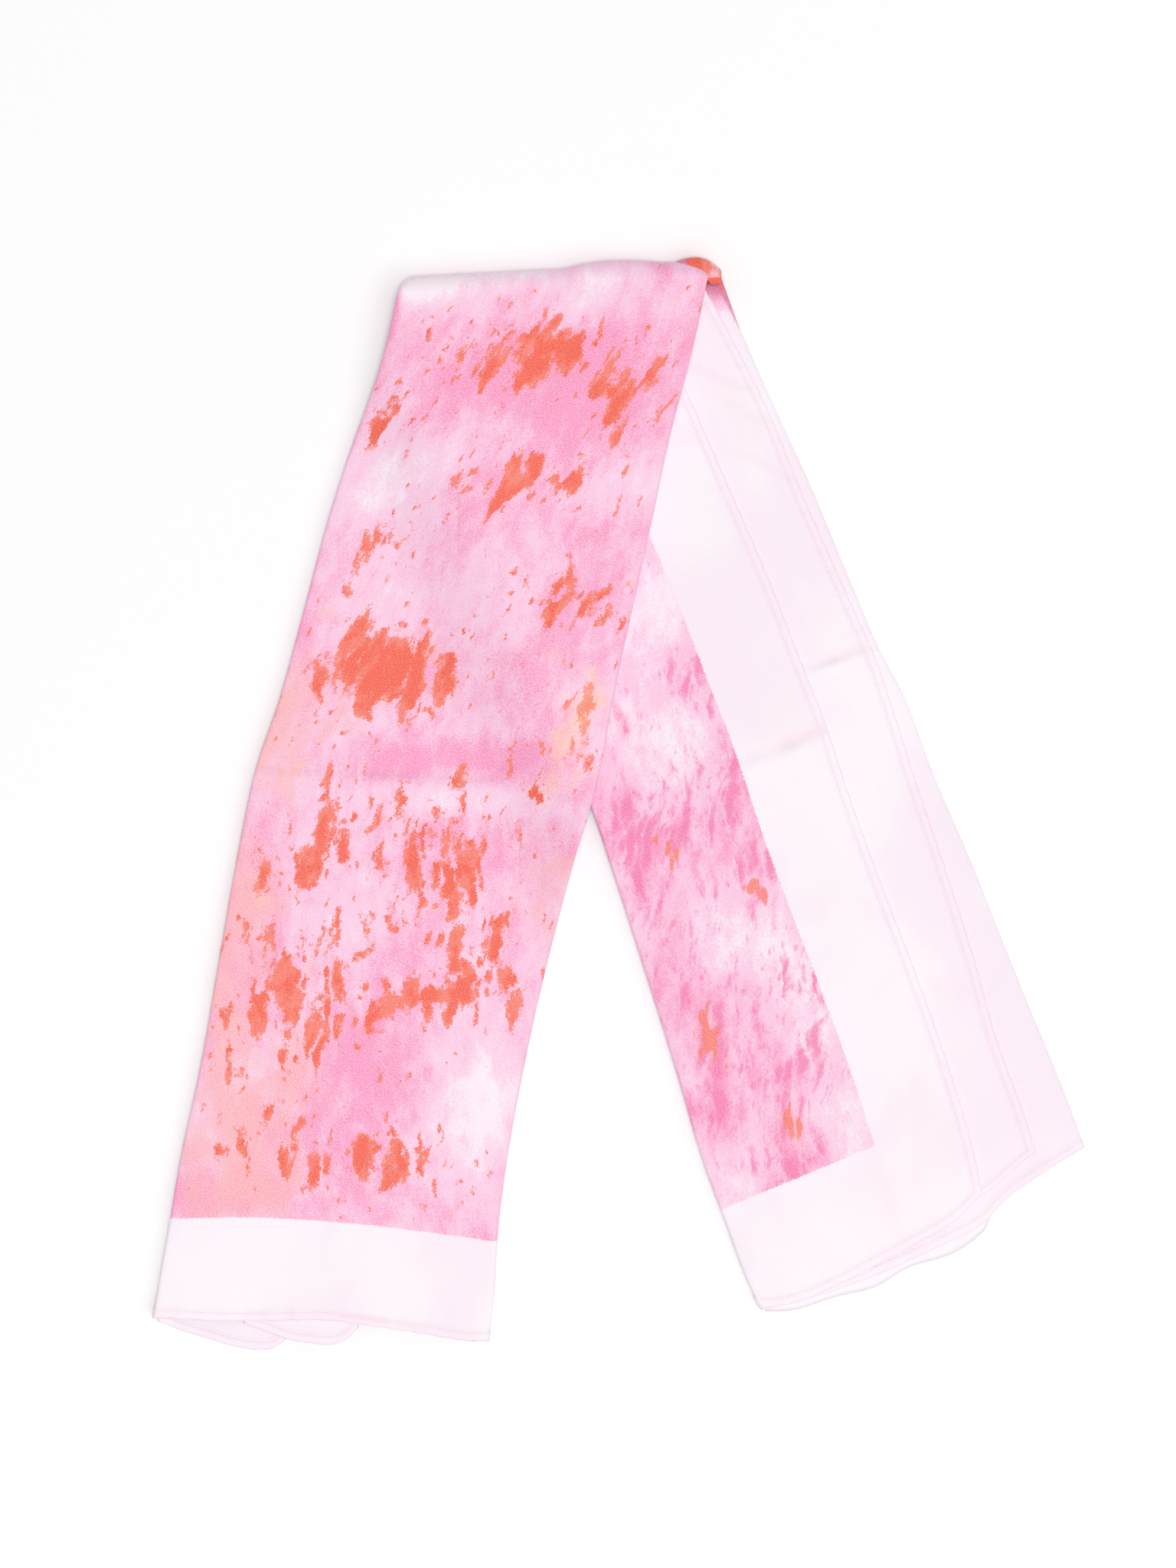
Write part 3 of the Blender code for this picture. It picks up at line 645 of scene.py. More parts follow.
# ---- Materials
class Value:
    """A number or colour from a shader socket. Sums and products of numbers add their Math nodes."""

    def __init__(self, nodes, socket):
        self.nodes = nodes
        self.socket = socket

    def maths(self, operation, first, second):
        return self.nodes.add("ShaderNodeMath", {"operation": operation}, {0: first, 1: second})

    def __add__(self, other):
        return self.maths("ADD", self, other)

    __radd__ = __add__

    def __sub__(self, other):
        return self.maths("SUBTRACT", self, other)

    def __rsub__(self, other):
        return self.maths("SUBTRACT", other, self)

    def __mul__(self, other):
        return self.maths("MULTIPLY", self, other)

    __rmul__ = __mul__

    def larger(self, other):
        return self.maths("MAXIMUM", self, other)

    def smaller(self, other):
        return self.maths("MINIMUM", self, other)


class Nodes:
    """The node tree of one material."""

    def __init__(self, name, **constants):
        self.material = bpy.data.materials.new(name)
        self.material.use_nodes = True
        self.tree = self.material.node_tree
        self.surface = self.tree.nodes["Principled BSDF"]
        for socket, value in constants.items():
            self.surface.inputs[socket.replace("_", " ")].default_value = value

    def add(self, kind, settings=None, inputs=None, output=0):
        """Any node, by its type, settings and the values or links of its sockets."""
        node = self.tree.nodes.new(kind)
        for name, value in (settings or {}).items():
            setattr(node, name, value)
        for socket, value in (inputs or {}).items():
            self.feed(node.inputs[socket], value)
        return Value(self, node.outputs[output])

    def feed(self, socket, value):
        if isinstance(value, Value):
            self.tree.links.new(value.socket, socket)
        else:
            socket.default_value = (*value, 1.0) if socket.type == "RGBA" else value

    def finish(self, base_colour, roughness):
        """Set the shader's colour and roughness."""
        self.feed(self.surface.inputs["Base Color"], base_colour)
        self.feed(self.surface.inputs["Roughness"], roughness)
        return self.material

    def attribute(self, name):
        return self.add("ShaderNodeAttribute", {"attribute_name": name}, output="Fac")

    def mix(self, factor, first, second):
        """One colour over another."""
        return self.add("ShaderNodeMix", {"data_type": "RGBA"}, {0: factor, 6: first, 7: second}, output=2)

    def ramp(self, value, low, high):
        """A smooth rise from 0 to 1 as a value goes from low to high."""
        return self.add("ShaderNodeMapRange", {"interpolation_type": "SMOOTHSTEP"},
                        {"Value": value, "From Min": low, "From Max": high})

    def vector(self, operation, first, second):
        return self.add("ShaderNodeVectorMath", {"operation": operation}, {0: first, 1: second})

    def placed(self, vector, size, turn=0.0, shift=(0.0, 0.0)):
        """Coordinates turned, shifted and divided by a pattern's size."""
        return self.add("ShaderNodeMapping", {"vector_type": "TEXTURE"},
                        {"Vector": vector, "Scale": (*size, 1.0), "Rotation": (0.0, 0.0, turn),
                         "Location": (*shift, 0.0)})

    def noise(self, vector, size, detail, roughness=0.5, turn=0.0, shift=(0.0, 0.0), output=0):
        """Noise of a given size across and along the cloth. Output 1 gives it as a colour."""
        return self.add("ShaderNodeTexNoise", {"noise_dimensions": "2D"},
                        {"Vector": self.placed(vector, size, turn, shift), "Scale": 1.0, "Detail": detail,
                         "Roughness": roughness}, output)


def weave_pattern(nodes, flat, pitch):
    """The floats of the satin, uneven as woven: near 1 on a float and 0 between floats."""
    wander = nodes.noise(flat, (pitch * 6, pitch * 6), 2.0, output=1)
    shifted = nodes.vector("ADD", flat, nodes.vector("MULTIPLY", wander, (pitch * 1.6, pitch * 1.6, 0.0)))
    floats = nodes.add("ShaderNodeTexVoronoi", {"voronoi_dimensions": "2D", "feature": "F1"},
                       {"Vector": nodes.placed(shifted, (pitch, pitch * 1.15), turn=0.5),
                        "Scale": 1.0, "Randomness": 0.75})
    return 1.0 - nodes.ramp(floats, 0.06, 0.44)


def satin_relief(nodes, weave, flat, strength):
    """Bump of the weave and of slightly uneven yarns."""
    yarns = nodes.noise(flat, (0.0009, 0.012), 2.0)
    cross_yarns = nodes.noise(flat, (0.010, 0.0009), 2.0)
    height = weave * 0.7 + yarns * 0.35 + cross_yarns * 0.35
    normal = nodes.add("ShaderNodeBump", {}, {"Strength": strength, "Distance": 0.00012, "Height": height},
                       output="Normal")
    nodes.feed(nodes.surface.inputs["Normal"], normal)


def plain_colour(nodes, flat, look):
    """Unprinted satin, nearly white, with faint pink blooms, and pink painted shade at its seams and creases.
    """
    bloom = nodes.noise(flat, (0.045, 0.070), 3.0)
    ground = nodes.mix(nodes.ramp(bloom, 0.36, 0.66) * 0.8, look.plain, look.tinted)
    uneven = nodes.noise(flat, (0.0045, 0.0045), 1.0)
    # Painted shade: the seam amount mixes blush in at hem edges, stitch lines and crease troughs.
    return nodes.mix(nodes.attribute("seam") * (uneven * 0.8 + 0.25) * 0.45, ground, look.blush)


def washed_ground(nodes, flat, look, wash, salmon, yellow):
    """The print's clouds, from nearly white through pink to salmon and peach, with worn, grainy edges."""
    clouds = nodes.noise(flat, (0.034, 0.046), 6.0, 0.62, turn=-0.15)
    blots = nodes.noise(flat, (0.0055, 0.0110), 5.0, 0.65, turn=-0.12, shift=(0.3, 0.1))
    grain = nodes.noise(flat, (0.0008, 0.0008), 1.0)
    level = clouds * 1.25 + blots * 0.85 + grain * 0.4 + wash * 0.95 - 1.25
    ground = nodes.mix(nodes.ramp(level, -0.20, 0.34), look.pale, look.blush)
    ground = nodes.mix(nodes.ramp(level, 0.28, 0.92), ground, look.pink)
    tint = nodes.noise(flat, (0.013, 0.020), 5.0, 0.62, shift=(0.7, 0.4))
    ground = nodes.mix(nodes.ramp(salmon * 1.2 + tint * 2.0, 1.25, 2.2) * 0.85, ground, look.salmon)
    return nodes.mix(nodes.ramp(yellow * 1.1 + tint * 1.8, 1.2, 2.0) * 0.8, ground, look.peach)


def leaning(nodes, flat, side):
    """Cloth coordinates that follow the dabs: they lean across the strip, more or less along its length."""
    along = nodes.add("ShaderNodeSeparateXYZ", {}, {0: flat}, "Y")
    change = (side.lean_at_hem - side.lean_at_fold) / (2 * left_leg.length * MM)
    shift = along * (along * change + side.lean_at_fold)
    return nodes.vector("SUBTRACT", flat, nodes.add("ShaderNodeCombineXYZ", {}, {"X": shift}))


def scattered_dabs(nodes, place, size, shift=(0.0, 0.0)):
    """Blunt dabs at random places: the distance from the nearest one's middle, and its chance."""
    cells = ("ShaderNodeTexVoronoi", {"voronoi_dimensions": "2D", "feature": "F1", "distance": "MINKOWSKI"},
             {"Vector": nodes.placed(place, size, shift=shift), "Scale": 1.0, "Exponent": 3.0,
              "Randomness": 1.0})
    chance = nodes.add("ShaderNodeSeparateColor", {}, {0: nodes.add(*cells, output=1)})
    return nodes.add(*cells), chance


def displacement(nodes, place, size, detail, roughness, reach, shift=(0.0, 0.0)):
    """A vector of noise that moves a pattern by up to half a reach, to either side."""
    noise = nodes.noise(place, size, detail, roughness, shift=shift, output=1)
    return nodes.vector("MULTIPLY", nodes.vector("SUBTRACT", noise, (0.5, 0.5, 0.5)), (*reach, 0.0))


def dab_strength(nodes, flat, weave, look, amount, side):
    """The dabs: long strokes, small specks and fused patches with ragged edges. Above 0 there is one."""
    bend = displacement(nodes, flat, (0.016, 0.020), 1.0, 0.5, (0.0090, 0.0160), shift=(0.4, 0.0))
    ragged = displacement(nodes, flat, (0.0036, 0.0050), 3.0, 0.6, (0.0036, 0.0040))
    place = nodes.vector("ADD", nodes.vector("ADD", flat, bend), ragged)
    width, length = look.dab_width * side.dab_scale, look.dab_length * side.dab_scale ** 0.5
    distance, chance = scattered_dabs(nodes, place, (width, length))
    strokes = ((amount * 0.72 + 0.02 - chance * 0.42).smaller(0.40) - distance) * 0.8
    distance, chance = scattered_dabs(nodes, place, (width * 0.46, length * 0.30), shift=(0.3, 0.1))
    specks = ((amount * 0.50 - chance * 0.46).smaller(0.32) - distance) * 0.5
    patches = nodes.noise(place, (width * 1.3, length * 0.9), 2.0, shift=(0.05, 0.21))
    patches = (patches + amount * 0.42 - 0.85 - side.parted) * 1.6
    mottle = nodes.noise(flat, (0.0030, 0.0042), 2.0, shift=(0.6, 0.5))
    edge = nodes.noise(flat, (0.0010, 0.0012), 2.0, 0.6)
    return (strokes.larger(specks).larger(patches) + (mottle - 0.5) * 0.30 + (edge - 0.5) * 0.22
            + (weave - 0.5) * -0.05)


def face_ink(nodes, flat, look, weave, ground, dabs):
    """The print on its face: coral and orange dabs on a ground that the pale floats lighten."""
    tone = nodes.noise(flat, (0.006, 0.009), 3.0, shift=(0.2, 0.8))
    full = nodes.ramp(dabs + (tone - 0.5) * 0.8, -0.02, 0.26)
    dab_colour = nodes.mix(full, look.coral, look.orange)
    dab_colour = nodes.mix(nodes.ramp(nodes.attribute("yellow"), 0.25, 0.8) * 0.30, dab_colour, look.peach)
    ground = nodes.mix(weave * 0.38, ground, look.pale)
    return nodes.mix(nodes.ramp(dabs, -0.045, 0.060) * 0.96, ground, dab_colour)


def wrong_side_ink(nodes, leant, look, ground, dabs):
    """The print where it shows through on the wrong side: soft magenta dabs and a few coral marks."""
    ink = nodes.mix(nodes.ramp(dabs, -0.15, 0.21) * 0.88, ground, look.magenta)
    mark = nodes.noise(leant, (0.0036, 0.0090), 1.5, shift=(0.9, 0.9))
    mark = nodes.ramp(mark * 1.5 + nodes.attribute("salmon") * 1.2, 1.22, 1.40)
    return nodes.mix(mark * 0.85, ink, look.coral)


def inside_print(nodes, flat):
    """1 inside the printed panel and 0 in its border, with an edge that steps with the weave."""
    jitter = nodes.noise(flat, (0.0006, 0.0006), 1.0)
    return nodes.ramp(nodes.attribute("inside") + (jitter - 0.5) * 1.0, -0.20, 0.20)


def satin(name):
    """The shader of thin polyester satin, and the cloth's coordinates."""
    nodes = Nodes(name, Sheen_Weight=0.25, Sheen_Roughness=0.4, Specular_IOR_Level=0.35)
    return nodes, nodes.add("ShaderNodeUVMap", {"uv_map": "cloth"})


def printed_satin(name, look, side):
    """Printed satin. On its wrong side the print shows through, softer and pinker."""
    nodes, flat = satin(name)
    weave = weave_pattern(nodes, flat, look.weave)
    leant = leaning(nodes, flat, side)
    ground = washed_ground(nodes, leant, look, nodes.attribute("wash"), nodes.attribute("salmon"),
                           nodes.attribute("yellow"))
    dabs = dab_strength(nodes, leant, weave, look, nodes.attribute("dabs"), side)
    if side is WRONG_SIDE:
        ink = wrong_side_ink(nodes, leant, look, ground, dabs)
    else:
        ink = face_ink(nodes, flat, look, weave, ground, dabs)
    # Painted shade: where the print lies deep in the fold, it is mixed towards the fold shade colour.
    ink = nodes.mix(nodes.ramp(nodes.attribute("mauve"), 0.0, 1.0) * 0.9, ink, look.mauve)
    ink = nodes.mix(weave * side.weave, ink, look.pale)
    satin_relief(nodes, weave, flat, 0.35)
    return nodes.finish(nodes.mix(inside_print(nodes, flat), plain_colour(nodes, flat, look), ink),
                        side.roughness - weave * 0.12)


def plain_satin(name, look):
    """Unprinted satin, wrong side up."""
    nodes, flat = satin(name)
    weave = weave_pattern(nodes, flat, look.weave)
    satin_relief(nodes, weave, flat, 0.30)
    return nodes.finish(plain_colour(nodes, flat, look), 0.60 - weave * 0.10)


def sewing_thread(name, look):
    """Pale twisted polyester thread."""
    nodes = Nodes(name, Sheen_Weight=0.15, Specular_IOR_Level=0.4)
    ply = nodes.noise(nodes.add("ShaderNodeTexCoord", output="Object"), (0.00025, 0.00025), 1.0)
    return nodes.finish(nodes.mix(ply * 0.35, look.plain, look.blush), 0.5 + ply * 0.15)


def studio_floor(name, stage):
    """A pale floor with the faintest unevenness."""
    nodes = Nodes(name, Specular_IOR_Level=0.1)
    cloud = nodes.noise(nodes.add("ShaderNodeTexCoord", output="Object"), (0.25, 0.25), 2.0)
    return nodes.finish(stage.floor, 0.75 + cloud * 0.1)


def finish_of(kind):
    """A finish by its name, made the first time that a piece takes it."""
    scene = bpy.context.scene
    makers = {
        "printed satin": lambda name: printed_satin(name, scene.bandana_print, FACE),
        "printed satin, wrong side": lambda name: printed_satin(name, scene.bandana_print, WRONG_SIDE),
        "plain satin": lambda name: plain_satin(name, scene.bandana_print),
        "sewing thread": lambda name: sewing_thread(name, scene.bandana_print),
        "studio floor": lambda name: studio_floor(name, scene.bandana_stage),
    }
    return bpy.data.materials.get(kind) or makers[kind](kind)


# ---- Sewing
def stitch_line(points, cloth):
    """Places and directions of stitches along a line of points in millimetres."""
    steps = np.linalg.norm(np.diff(points, axis=0), axis=1)
    travelled = np.concatenate([[0.0], np.cumsum(steps)])
    middles = np.arange(cloth.stitch_pitch / MM / 2, travelled[-1], cloth.stitch_pitch / MM)
    places = np.stack([np.interp(middles, travelled, points[:, axis]) for axis in range(3)], axis=1)
    ahead = np.stack([np.interp(middles + 0.4, travelled, points[:, axis]) for axis in range(3)], axis=1)
    behind = np.stack([np.interp(middles - 0.4, travelled, points[:, axis]) for axis in range(3)], axis=1)
    return places, ahead - behind


def sewn(name, lines, cloth):
    """Lines of lockstitch as one piece of small rounded stitches."""
    shape = bmesh.new()
    half_length = cloth.stitch_pitch * 0.38
    half_width = cloth.thread / 2
    size = Matrix.Diagonal((half_length, half_width, half_width * 0.8, 1.0))
    for line in lines:
        for place, direction in zip(*stitch_line(line, cloth)):
            turn = Vector(direction).to_track_quat("X", "Z").to_matrix().to_4x4()
            lying = Matrix.Translation(Vector(place) * MM + Vector((0.0, 0.0, half_width * 0.35)))
            bmesh.ops.create_uvsphere(shape, u_segments=6, v_segments=4, radius=1.0,
                                      matrix=lying @ turn @ size)
    mesh = mesh_of(name, shape)
    mesh.shade_smooth()
    piece = in_scene(name, mesh, ["sewing thread"])
    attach(piece, "root")
    return piece


# ---- The stretches of cloth
SIDE_FOLD = Fold(0.8, 5.0)
PANEL_FOLD = Fold(0.6, 4.0)
END_RUN = 3.0             # how far a folded end hem runs back below itself
FOLD_STEPS = 18           # rows of the front stretch round the fold
FRONT_WIDTH = 106.0       # width of the strip, for the spacing of the front stretch's columns
END_SINK = 0.5            # how far the front stretch sinks towards its hem
SINK_RUN = 18.0
TURNED = 3.0              # drop below a face at which its relief has faded out
SCALLOP_BAND = 4.0        # how far in from a hem's edge the stitches draw it
FOLD_TUCK = 1.9           # how far the lower stretches draw in beside the fold
FOLD_CLEARANCE = 0.4      # where the right leg's stretches end, below the fold


def hem_fold(cloth):
    return Fold(cloth.hem_fold / MM, END_RUN)


def leg_rows(length, cloth, spacing=1.0):
    """Distances from the fold for a stretch's rows, from past its hem up to the fold, and their drops."""
    fold = hem_fold(cloth)
    body = length - fold.radius
    shares = with_close_edge(even_shares(body, cloth.spacing / MM * spacing), body)
    out, drop = lip(lip_steps(*fold), fold.radius)
    along = np.concatenate([shares * body, body + out])[::-1]
    return along, np.concatenate([np.zeros(len(shares)), drop])[::-1]


def scalloped(inset, along, length):
    """Distances along a leg, with the hem at its end drawn in and out."""
    return along + scallop(inset) * smooth_step(length - SCALLOP_BAND, length, along)


def on_front(inset, along, drop, cloth):
    """Points of the front stretch, the top layer of the left leg."""
    from_end = left_leg.length - along
    relief = (crease_height(FRONT_CREASES, inset, along) + hem_height(from_end, inset, cloth)
              - END_SINK * smooth_step(SINK_RUN, 0.0, from_end))
    position = on_left_leg(inset, scalloped(inset, along, left_leg.length), drop, cloth)
    position[..., 2] += relief * smooth_step(TURNED, 0.0, drop)
    return position


def front_seam(cloth):
    """The line of stitches in the front stretch's end hem."""
    width = float(left_leg.width(np.array(left_leg.length)))
    inset = np.linspace(1.5, width - 1.5, 160)
    return on_front(inset, np.full_like(inset, left_leg.length - cloth.stitch_inset / MM), 0.0, cloth)


def build_front_stretch(cloth):
    """The printed face of the left leg, carried round the fold to the surface."""
    leg_along, leg_drop = leg_rows(left_leg.length, cloth)
    around = -np.pi * FOLD_AXIS * np.arange(1, FOLD_STEPS + 1) / FOLD_STEPS
    along = np.concatenate([leg_along, around])
    end_drop = np.concatenate([leg_drop, np.zeros(FOLD_STEPS)])
    width = left_leg.width(np.clip(along, 0.0, left_leg.length))
    shares = even_shares(FRONT_WIDTH, cloth.spacing / MM)
    strip = across_strip(np.zeros_like(width), width, SIDE_FOLD, SIDE_FOLD, shares)
    rows = np.broadcast_to(along[:, None], strip.inset.shape)
    position = on_front(strip.inset, rows, strip.drop + end_drop[:, None], cloth)
    shade = crease_shade(FRONT_CREASES, strip.flat_inset, rows)
    amounts = print_amounts(FACE_BASE, strip.flat_inset, rows, FACE_ZONES,
                            inside=curve_value(*zip(*PRINT_END), strip.flat_inset) - rows,
                            seam=painted_seam_shade(left_leg.length - rows, shade, cloth))
    piece = cloth_piece("front_stretch_satin", position, (strip.flat_inset, rows), amounts,
                        ["printed satin", "printed satin, wrong side"], cloth)
    stitches = sewn("front_stitches", [front_seam(cloth)], cloth)
    stands_for("front_stretch")


# Flat tubes of hidden cloth: the depths of their two faces below the strip's, how far each side lies in from
# the outline (the least distance, and by how much it varies), and how far the end is tucked in.
HiddenFold = namedtuple("HiddenFold", "top bottom left_base left_swing right_base right_swing phase tuck")
LEFT_HIDDEN = [HiddenFold(*row) for row in (
    (1.75, 3.4, 0.5, 1.6, 0.4, 1.6, 0.4, 5.0),
    (3.5, 5.15, 0.1, 1.4, 0.3, 1.8, 2.1, 6.5),
)]
RIGHT_HIDDEN = HiddenFold(STRIP - HIDDEN_TOP, STRIP - 0.02, 0.2, 0.9, 0.1, 0.5, 1.1, 0.0)
OTHER_SIDE = 1.7          # shift of the phase between a hidden fold's two sides
LEFT_TUBE = 216.0         # coordinates round each of the left leg's hidden tubes, and round the right leg's
RIGHT_TUBE = 224.0


def uneven_insets(fold, along):
    """How far a hidden fold's two sides lie in from the strip's outline, changing slowly along the leg."""
    sides = ((fold.left_base, fold.left_swing, fold.phase),
             (fold.right_base, fold.right_swing, fold.phase + OTHER_SIDE))
    return [base + swing * (0.5 + 0.3 * np.sin(along * 0.037 + phase)
                            + 0.2 * np.sin(along * 0.091 + 2.2 * phase)) for base, swing, phase in sides]


def tube_section(width, fold, left_inset, right_inset, columns, arc=6):
    """A flat tube of cloth in section, closed: over the top, round the right, back and round the left."""
    shares = np.linspace(0.0, 1.0, columns)
    radius = (fold.bottom - fold.top) / 2
    turn = np.pi * np.arange(1, arc) / arc
    first, last = left_inset + radius, width - right_inset - radius
    over = first[:, None] + (last - first)[:, None] * shares[None]
    right = last[:, None] + radius * np.sin(turn)[None]
    left = first[:, None] - radius * np.sin(turn)[None]
    inset = np.concatenate([over, right, over[:, ::-1], left, over[:, :1]], axis=1)
    turn_depth = fold.top + radius * (1 - np.cos(turn))
    depth = np.concatenate([np.full(columns, fold.top), turn_depth, np.full(columns, fold.bottom),
                            turn_depth[::-1], [fold.top]])
    return inset, np.broadcast_to(depth, inset.shape)


def build_left_hidden_layers(cloth):
    """The left leg's inner layers: two flat tubes that run round the fold below the front stretch.

    In the fold's left corner they show the print, pale with a pink rim.
    """
    pieces = []
    for index, fold in enumerate(LEFT_HIDDEN):
        leg = np.linspace(left_leg.length - fold.tuck, 0.0, 200)
        along = np.concatenate([leg, -np.pi * FOLD_AXIS * np.arange(1, 13) / 12])
        on_leg = np.maximum(along, 0.0)
        near_fold = smooth_step(16.0, 4.0, on_leg)
        left, right = uneven_insets(fold, on_leg)
        left = left * (1 - near_fold) + 0.3 * near_fold
        inset, depth = tube_section(left_leg.width(on_leg), fold, left, right + FOLD_TUCK * near_fold, 23)
        rows = np.broadcast_to(along[:, None], inset.shape)
        amounts = print_amounts(PLAIN, inset, rows, wash=-0.2 + 0.85 * np.exp(-(inset / 2.2) ** 2),
                                inside=np.minimum(11.0 - inset, 13.0 - rows))
        position = on_left_leg(inset, rows, depth, cloth)
        pieces.append(cloth_piece(f"left_hidden_folds_{index}", position,
                                  (np.linspace(0.0, LEFT_TUBE, inset.shape[1]), rows), amounts,
                                  ["printed satin, wrong side"], cloth, closed=True))
    piece = joined("left_hidden_folds", pieces)
    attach(piece, "root")
    stands_for("left_hidden_layers")


def build_right_hidden_layers(cloth):
    """The layers below the side panel: one flat tube on the surface, whose print shows beside the fold."""
    along = np.linspace(right_leg.length, FOLD_CLEARANCE, 190)
    left, right = uneven_insets(RIGHT_HIDDEN, along)
    left = left + FOLD_TUCK * smooth_step(14.0, 0.0, along)
    inset, depth = tube_section(right_leg.width(along), RIGHT_HIDDEN, left, right, 27)
    rows = np.broadcast_to(along[:, None], inset.shape)
    # The mauve amount is painted shade: the sliver's print darkens towards the fold, where it lies in shade.
    amounts = print_amounts(PLAIN, inset, rows, dabs=0.6, wash=0.9 * smooth_step(26.0, 10.0, rows),
                            inside=26.0 - rows, mauve=0.7 * smooth_step(24.0, 3.0, rows))
    position = on_right_leg(inset, rows, STRIP - depth, HIDDEN_END, cloth)
    piece = cloth_piece("right_hidden_folds", position, (np.linspace(0.0, RIGHT_TUBE, inset.shape[1]), rows),
                        amounts, ["printed satin"], cloth, closed=True)
    stands_for("right_hidden_layers")


class Panel(namedtuple("Panel", "top start edge creases end_points hemmed drape end_drop")):
    """One of the right leg's upper stretches: where its face lies, and its hems and creases.

    drape and end_drop say how far it sinks towards its side hem and towards its end.
    """

    def from_side(self, inset, along):
        """The distance from the right edge."""
        return self.edge(np.clip(along, 0.0, right_leg.length)) - inset

    def relief(self, inset, along, cloth):
        """What stands above or below the panel's even face."""
        from_end = right_leg.length - along
        height = crease_height(self.creases, inset, along) - self.end_drop * smooth_step(20.0, 1.0, from_end)
        if not self.hemmed:
            return height + hem_height(from_end, inset, cloth)
        from_side = self.from_side(inset, along)
        side = hem_height(from_side, along, cloth, 0.4)
        end = hem_height(from_end, inset, cloth, 0.4)
        height -= self.drape * smooth_step(15.0, 1.0, from_side)
        return height + np.where(from_side < from_end,
                                 np.maximum(side, HEM_RISE * smooth_step(3.9, 3.2, from_end)),
                                 np.maximum(end, HEM_RISE * smooth_step(3.9, 3.2, from_side)))

    def seam_amount(self, inset, along, cloth):
        """How much pink painted shade its hems and creases get."""
        distance = right_leg.length - along
        if self.hemmed:
            distance = np.minimum(distance, self.from_side(inset, along))
        return painted_seam_shade(distance, crease_shade(self.creases, inset, along), cloth)

    def place(self, inset, along, drop, cloth):
        """Points of the panel at a drop below its face."""
        relief = self.relief(inset, along, cloth)
        shifted = np.array(inset)
        if self.hemmed:
            shifted = shifted + (scallop(along + 40.0)
                                 * smooth_step(SCALLOP_BAND, 0.0, self.from_side(inset, along)))
        return on_right_leg(shifted, scalloped(inset, along, right_leg.length), self.top + relief - drop,
                            self.end_points, cloth)

    def seams(self, cloth):
        """The lines of stitches in its side hem and end hem."""
        seam = cloth.stitch_inset / MM
        lines = []
        if self.hemmed:
            along = np.linspace(2.0, right_leg.length - seam, 400)
            lines.append(self.place(self.edge(along) - seam, along, 0.0, cloth))
        edge = float(self.edge(np.array(right_leg.length)))
        inset = np.linspace(self.start + 1.5, edge - seam, 140)
        lines.append(self.place(inset, np.full_like(inset, right_leg.length - seam), 0.0, cloth))
        return lines


def panel_right_edge(along):
    """The side panel's right fold: the leg's outline, less the sliver beside the fold."""
    return right_leg.width(along) - SLIVER_WIDTH * smooth_step(SLIVER_LENGTH, 0.0, along)


flap = Panel(FLAP_TOP, 0.0, lambda along: right_leg.column("flap", along), FLAP_CREASES, FLAP_END,
             hemmed=True, drape=0.76, end_drop=0.85)
under_flap = Panel(UNDER_FLAP_TOP, 2.2, lambda along: right_leg.column("under_flap", along),
                   UNDER_FLAP_CREASES, UNDER_FLAP_END, hemmed=True, drape=0.72, end_drop=0.6)
side_panel = Panel(PANEL_TOP, 0.4, panel_right_edge, PANEL_CREASES, PANEL_END,
                   hemmed=False, drape=0.0, end_drop=0.4)


def build_panel(node, panel, folds, shares, finishes, amounts_of, cloth, spacing=1.0):
    """A stretch of the right leg, from its end hem up to the fold, and its stitches."""
    along, end_drop = leg_rows(right_leg.length, cloth, spacing)
    keep = along > FOLD_CLEARANCE
    along, end_drop = along[keep], end_drop[keep]
    on_leg = np.clip(along, 0.0, right_leg.length)
    start = panel.start + FOLD_TUCK * smooth_step(12.0, 0.0, on_leg)
    strip = across_strip(start, panel.edge(on_leg), *folds, shares)
    rows = np.broadcast_to(along[:, None], strip.inset.shape)
    drop = np.maximum(strip.drop, end_drop[:, None]) if panel.hemmed else strip.drop + end_drop[:, None]
    amounts = {**amounts_of(strip.flat_inset, rows), "seam": panel.seam_amount(strip.flat_inset, rows, cloth)}
    position = panel.place(strip.inset, rows, drop, cloth)
    piece = cloth_piece(node + "_satin", position, (strip.flat_inset, rows), amounts, finishes, cloth)
    stitches = sewn(node.removeprefix("right_") + "_stitches", panel.seams(cloth), cloth)
    stands_for(node)


def flap_amounts(inset, along):
    """The print, inside its plain border."""
    from_edge = np.minimum(flap.from_side(inset, along), right_leg.length - along)
    return print_amounts(FLAP_BASE, inset, along, FLAP_ZONES, inside=from_edge - PRINT_BORDER)


def under_flap_amounts(inset, along):
    return print_amounts(PLAIN, inset, along)


def side_panel_amounts(inset, along):
    """The side panel's print starts beside the fold and soon fades out, darkened by painted shade right at
    the fold.
    """
    return print_amounts(PLAIN, inset, along, wash=-0.3 + 1.0 * smooth_step(17.0, 3.0, along),
                         inside=19.0 - along, mauve=0.9 * smooth_step(9.0, 2.5, along))


def build_right_flap(cloth, width=82.0):
    """The top stretch of the right leg, printed side in, with a hem at its right and at its end."""
    build_panel("right_flap", flap, (SIDE_FOLD, hem_fold(cloth)),
                with_close_edge(even_shares(width, cloth.spacing / MM), width),
                ["printed satin, wrong side", "printed satin"], flap_amounts,
                cloth)


def build_right_under_flap(cloth, width=103.0):
    """The plain stretch below the flap, with a hem at its right and at its end."""
    build_panel("right_under_flap", under_flap, (hem_fold(cloth), hem_fold(cloth)),
                with_close_edge(even_shares(width, cloth.spacing / MM * 1.1), width),
                ["plain satin"], under_flap_amounts,
                cloth)


def build_side_panel(cloth, shows_from=0.72):
    """The plain stretch that ends in the leg's outer fold, with closer columns where it shows."""
    build_panel("side_panel", side_panel, (PANEL_FOLD, PANEL_FOLD),
                np.concatenate([np.linspace(0.0, shows_from, 19)[:-1], np.linspace(shows_from, 1.0, 24)]),
                ["printed satin, wrong side"], side_panel_amounts,
                cloth, spacing=1.2)


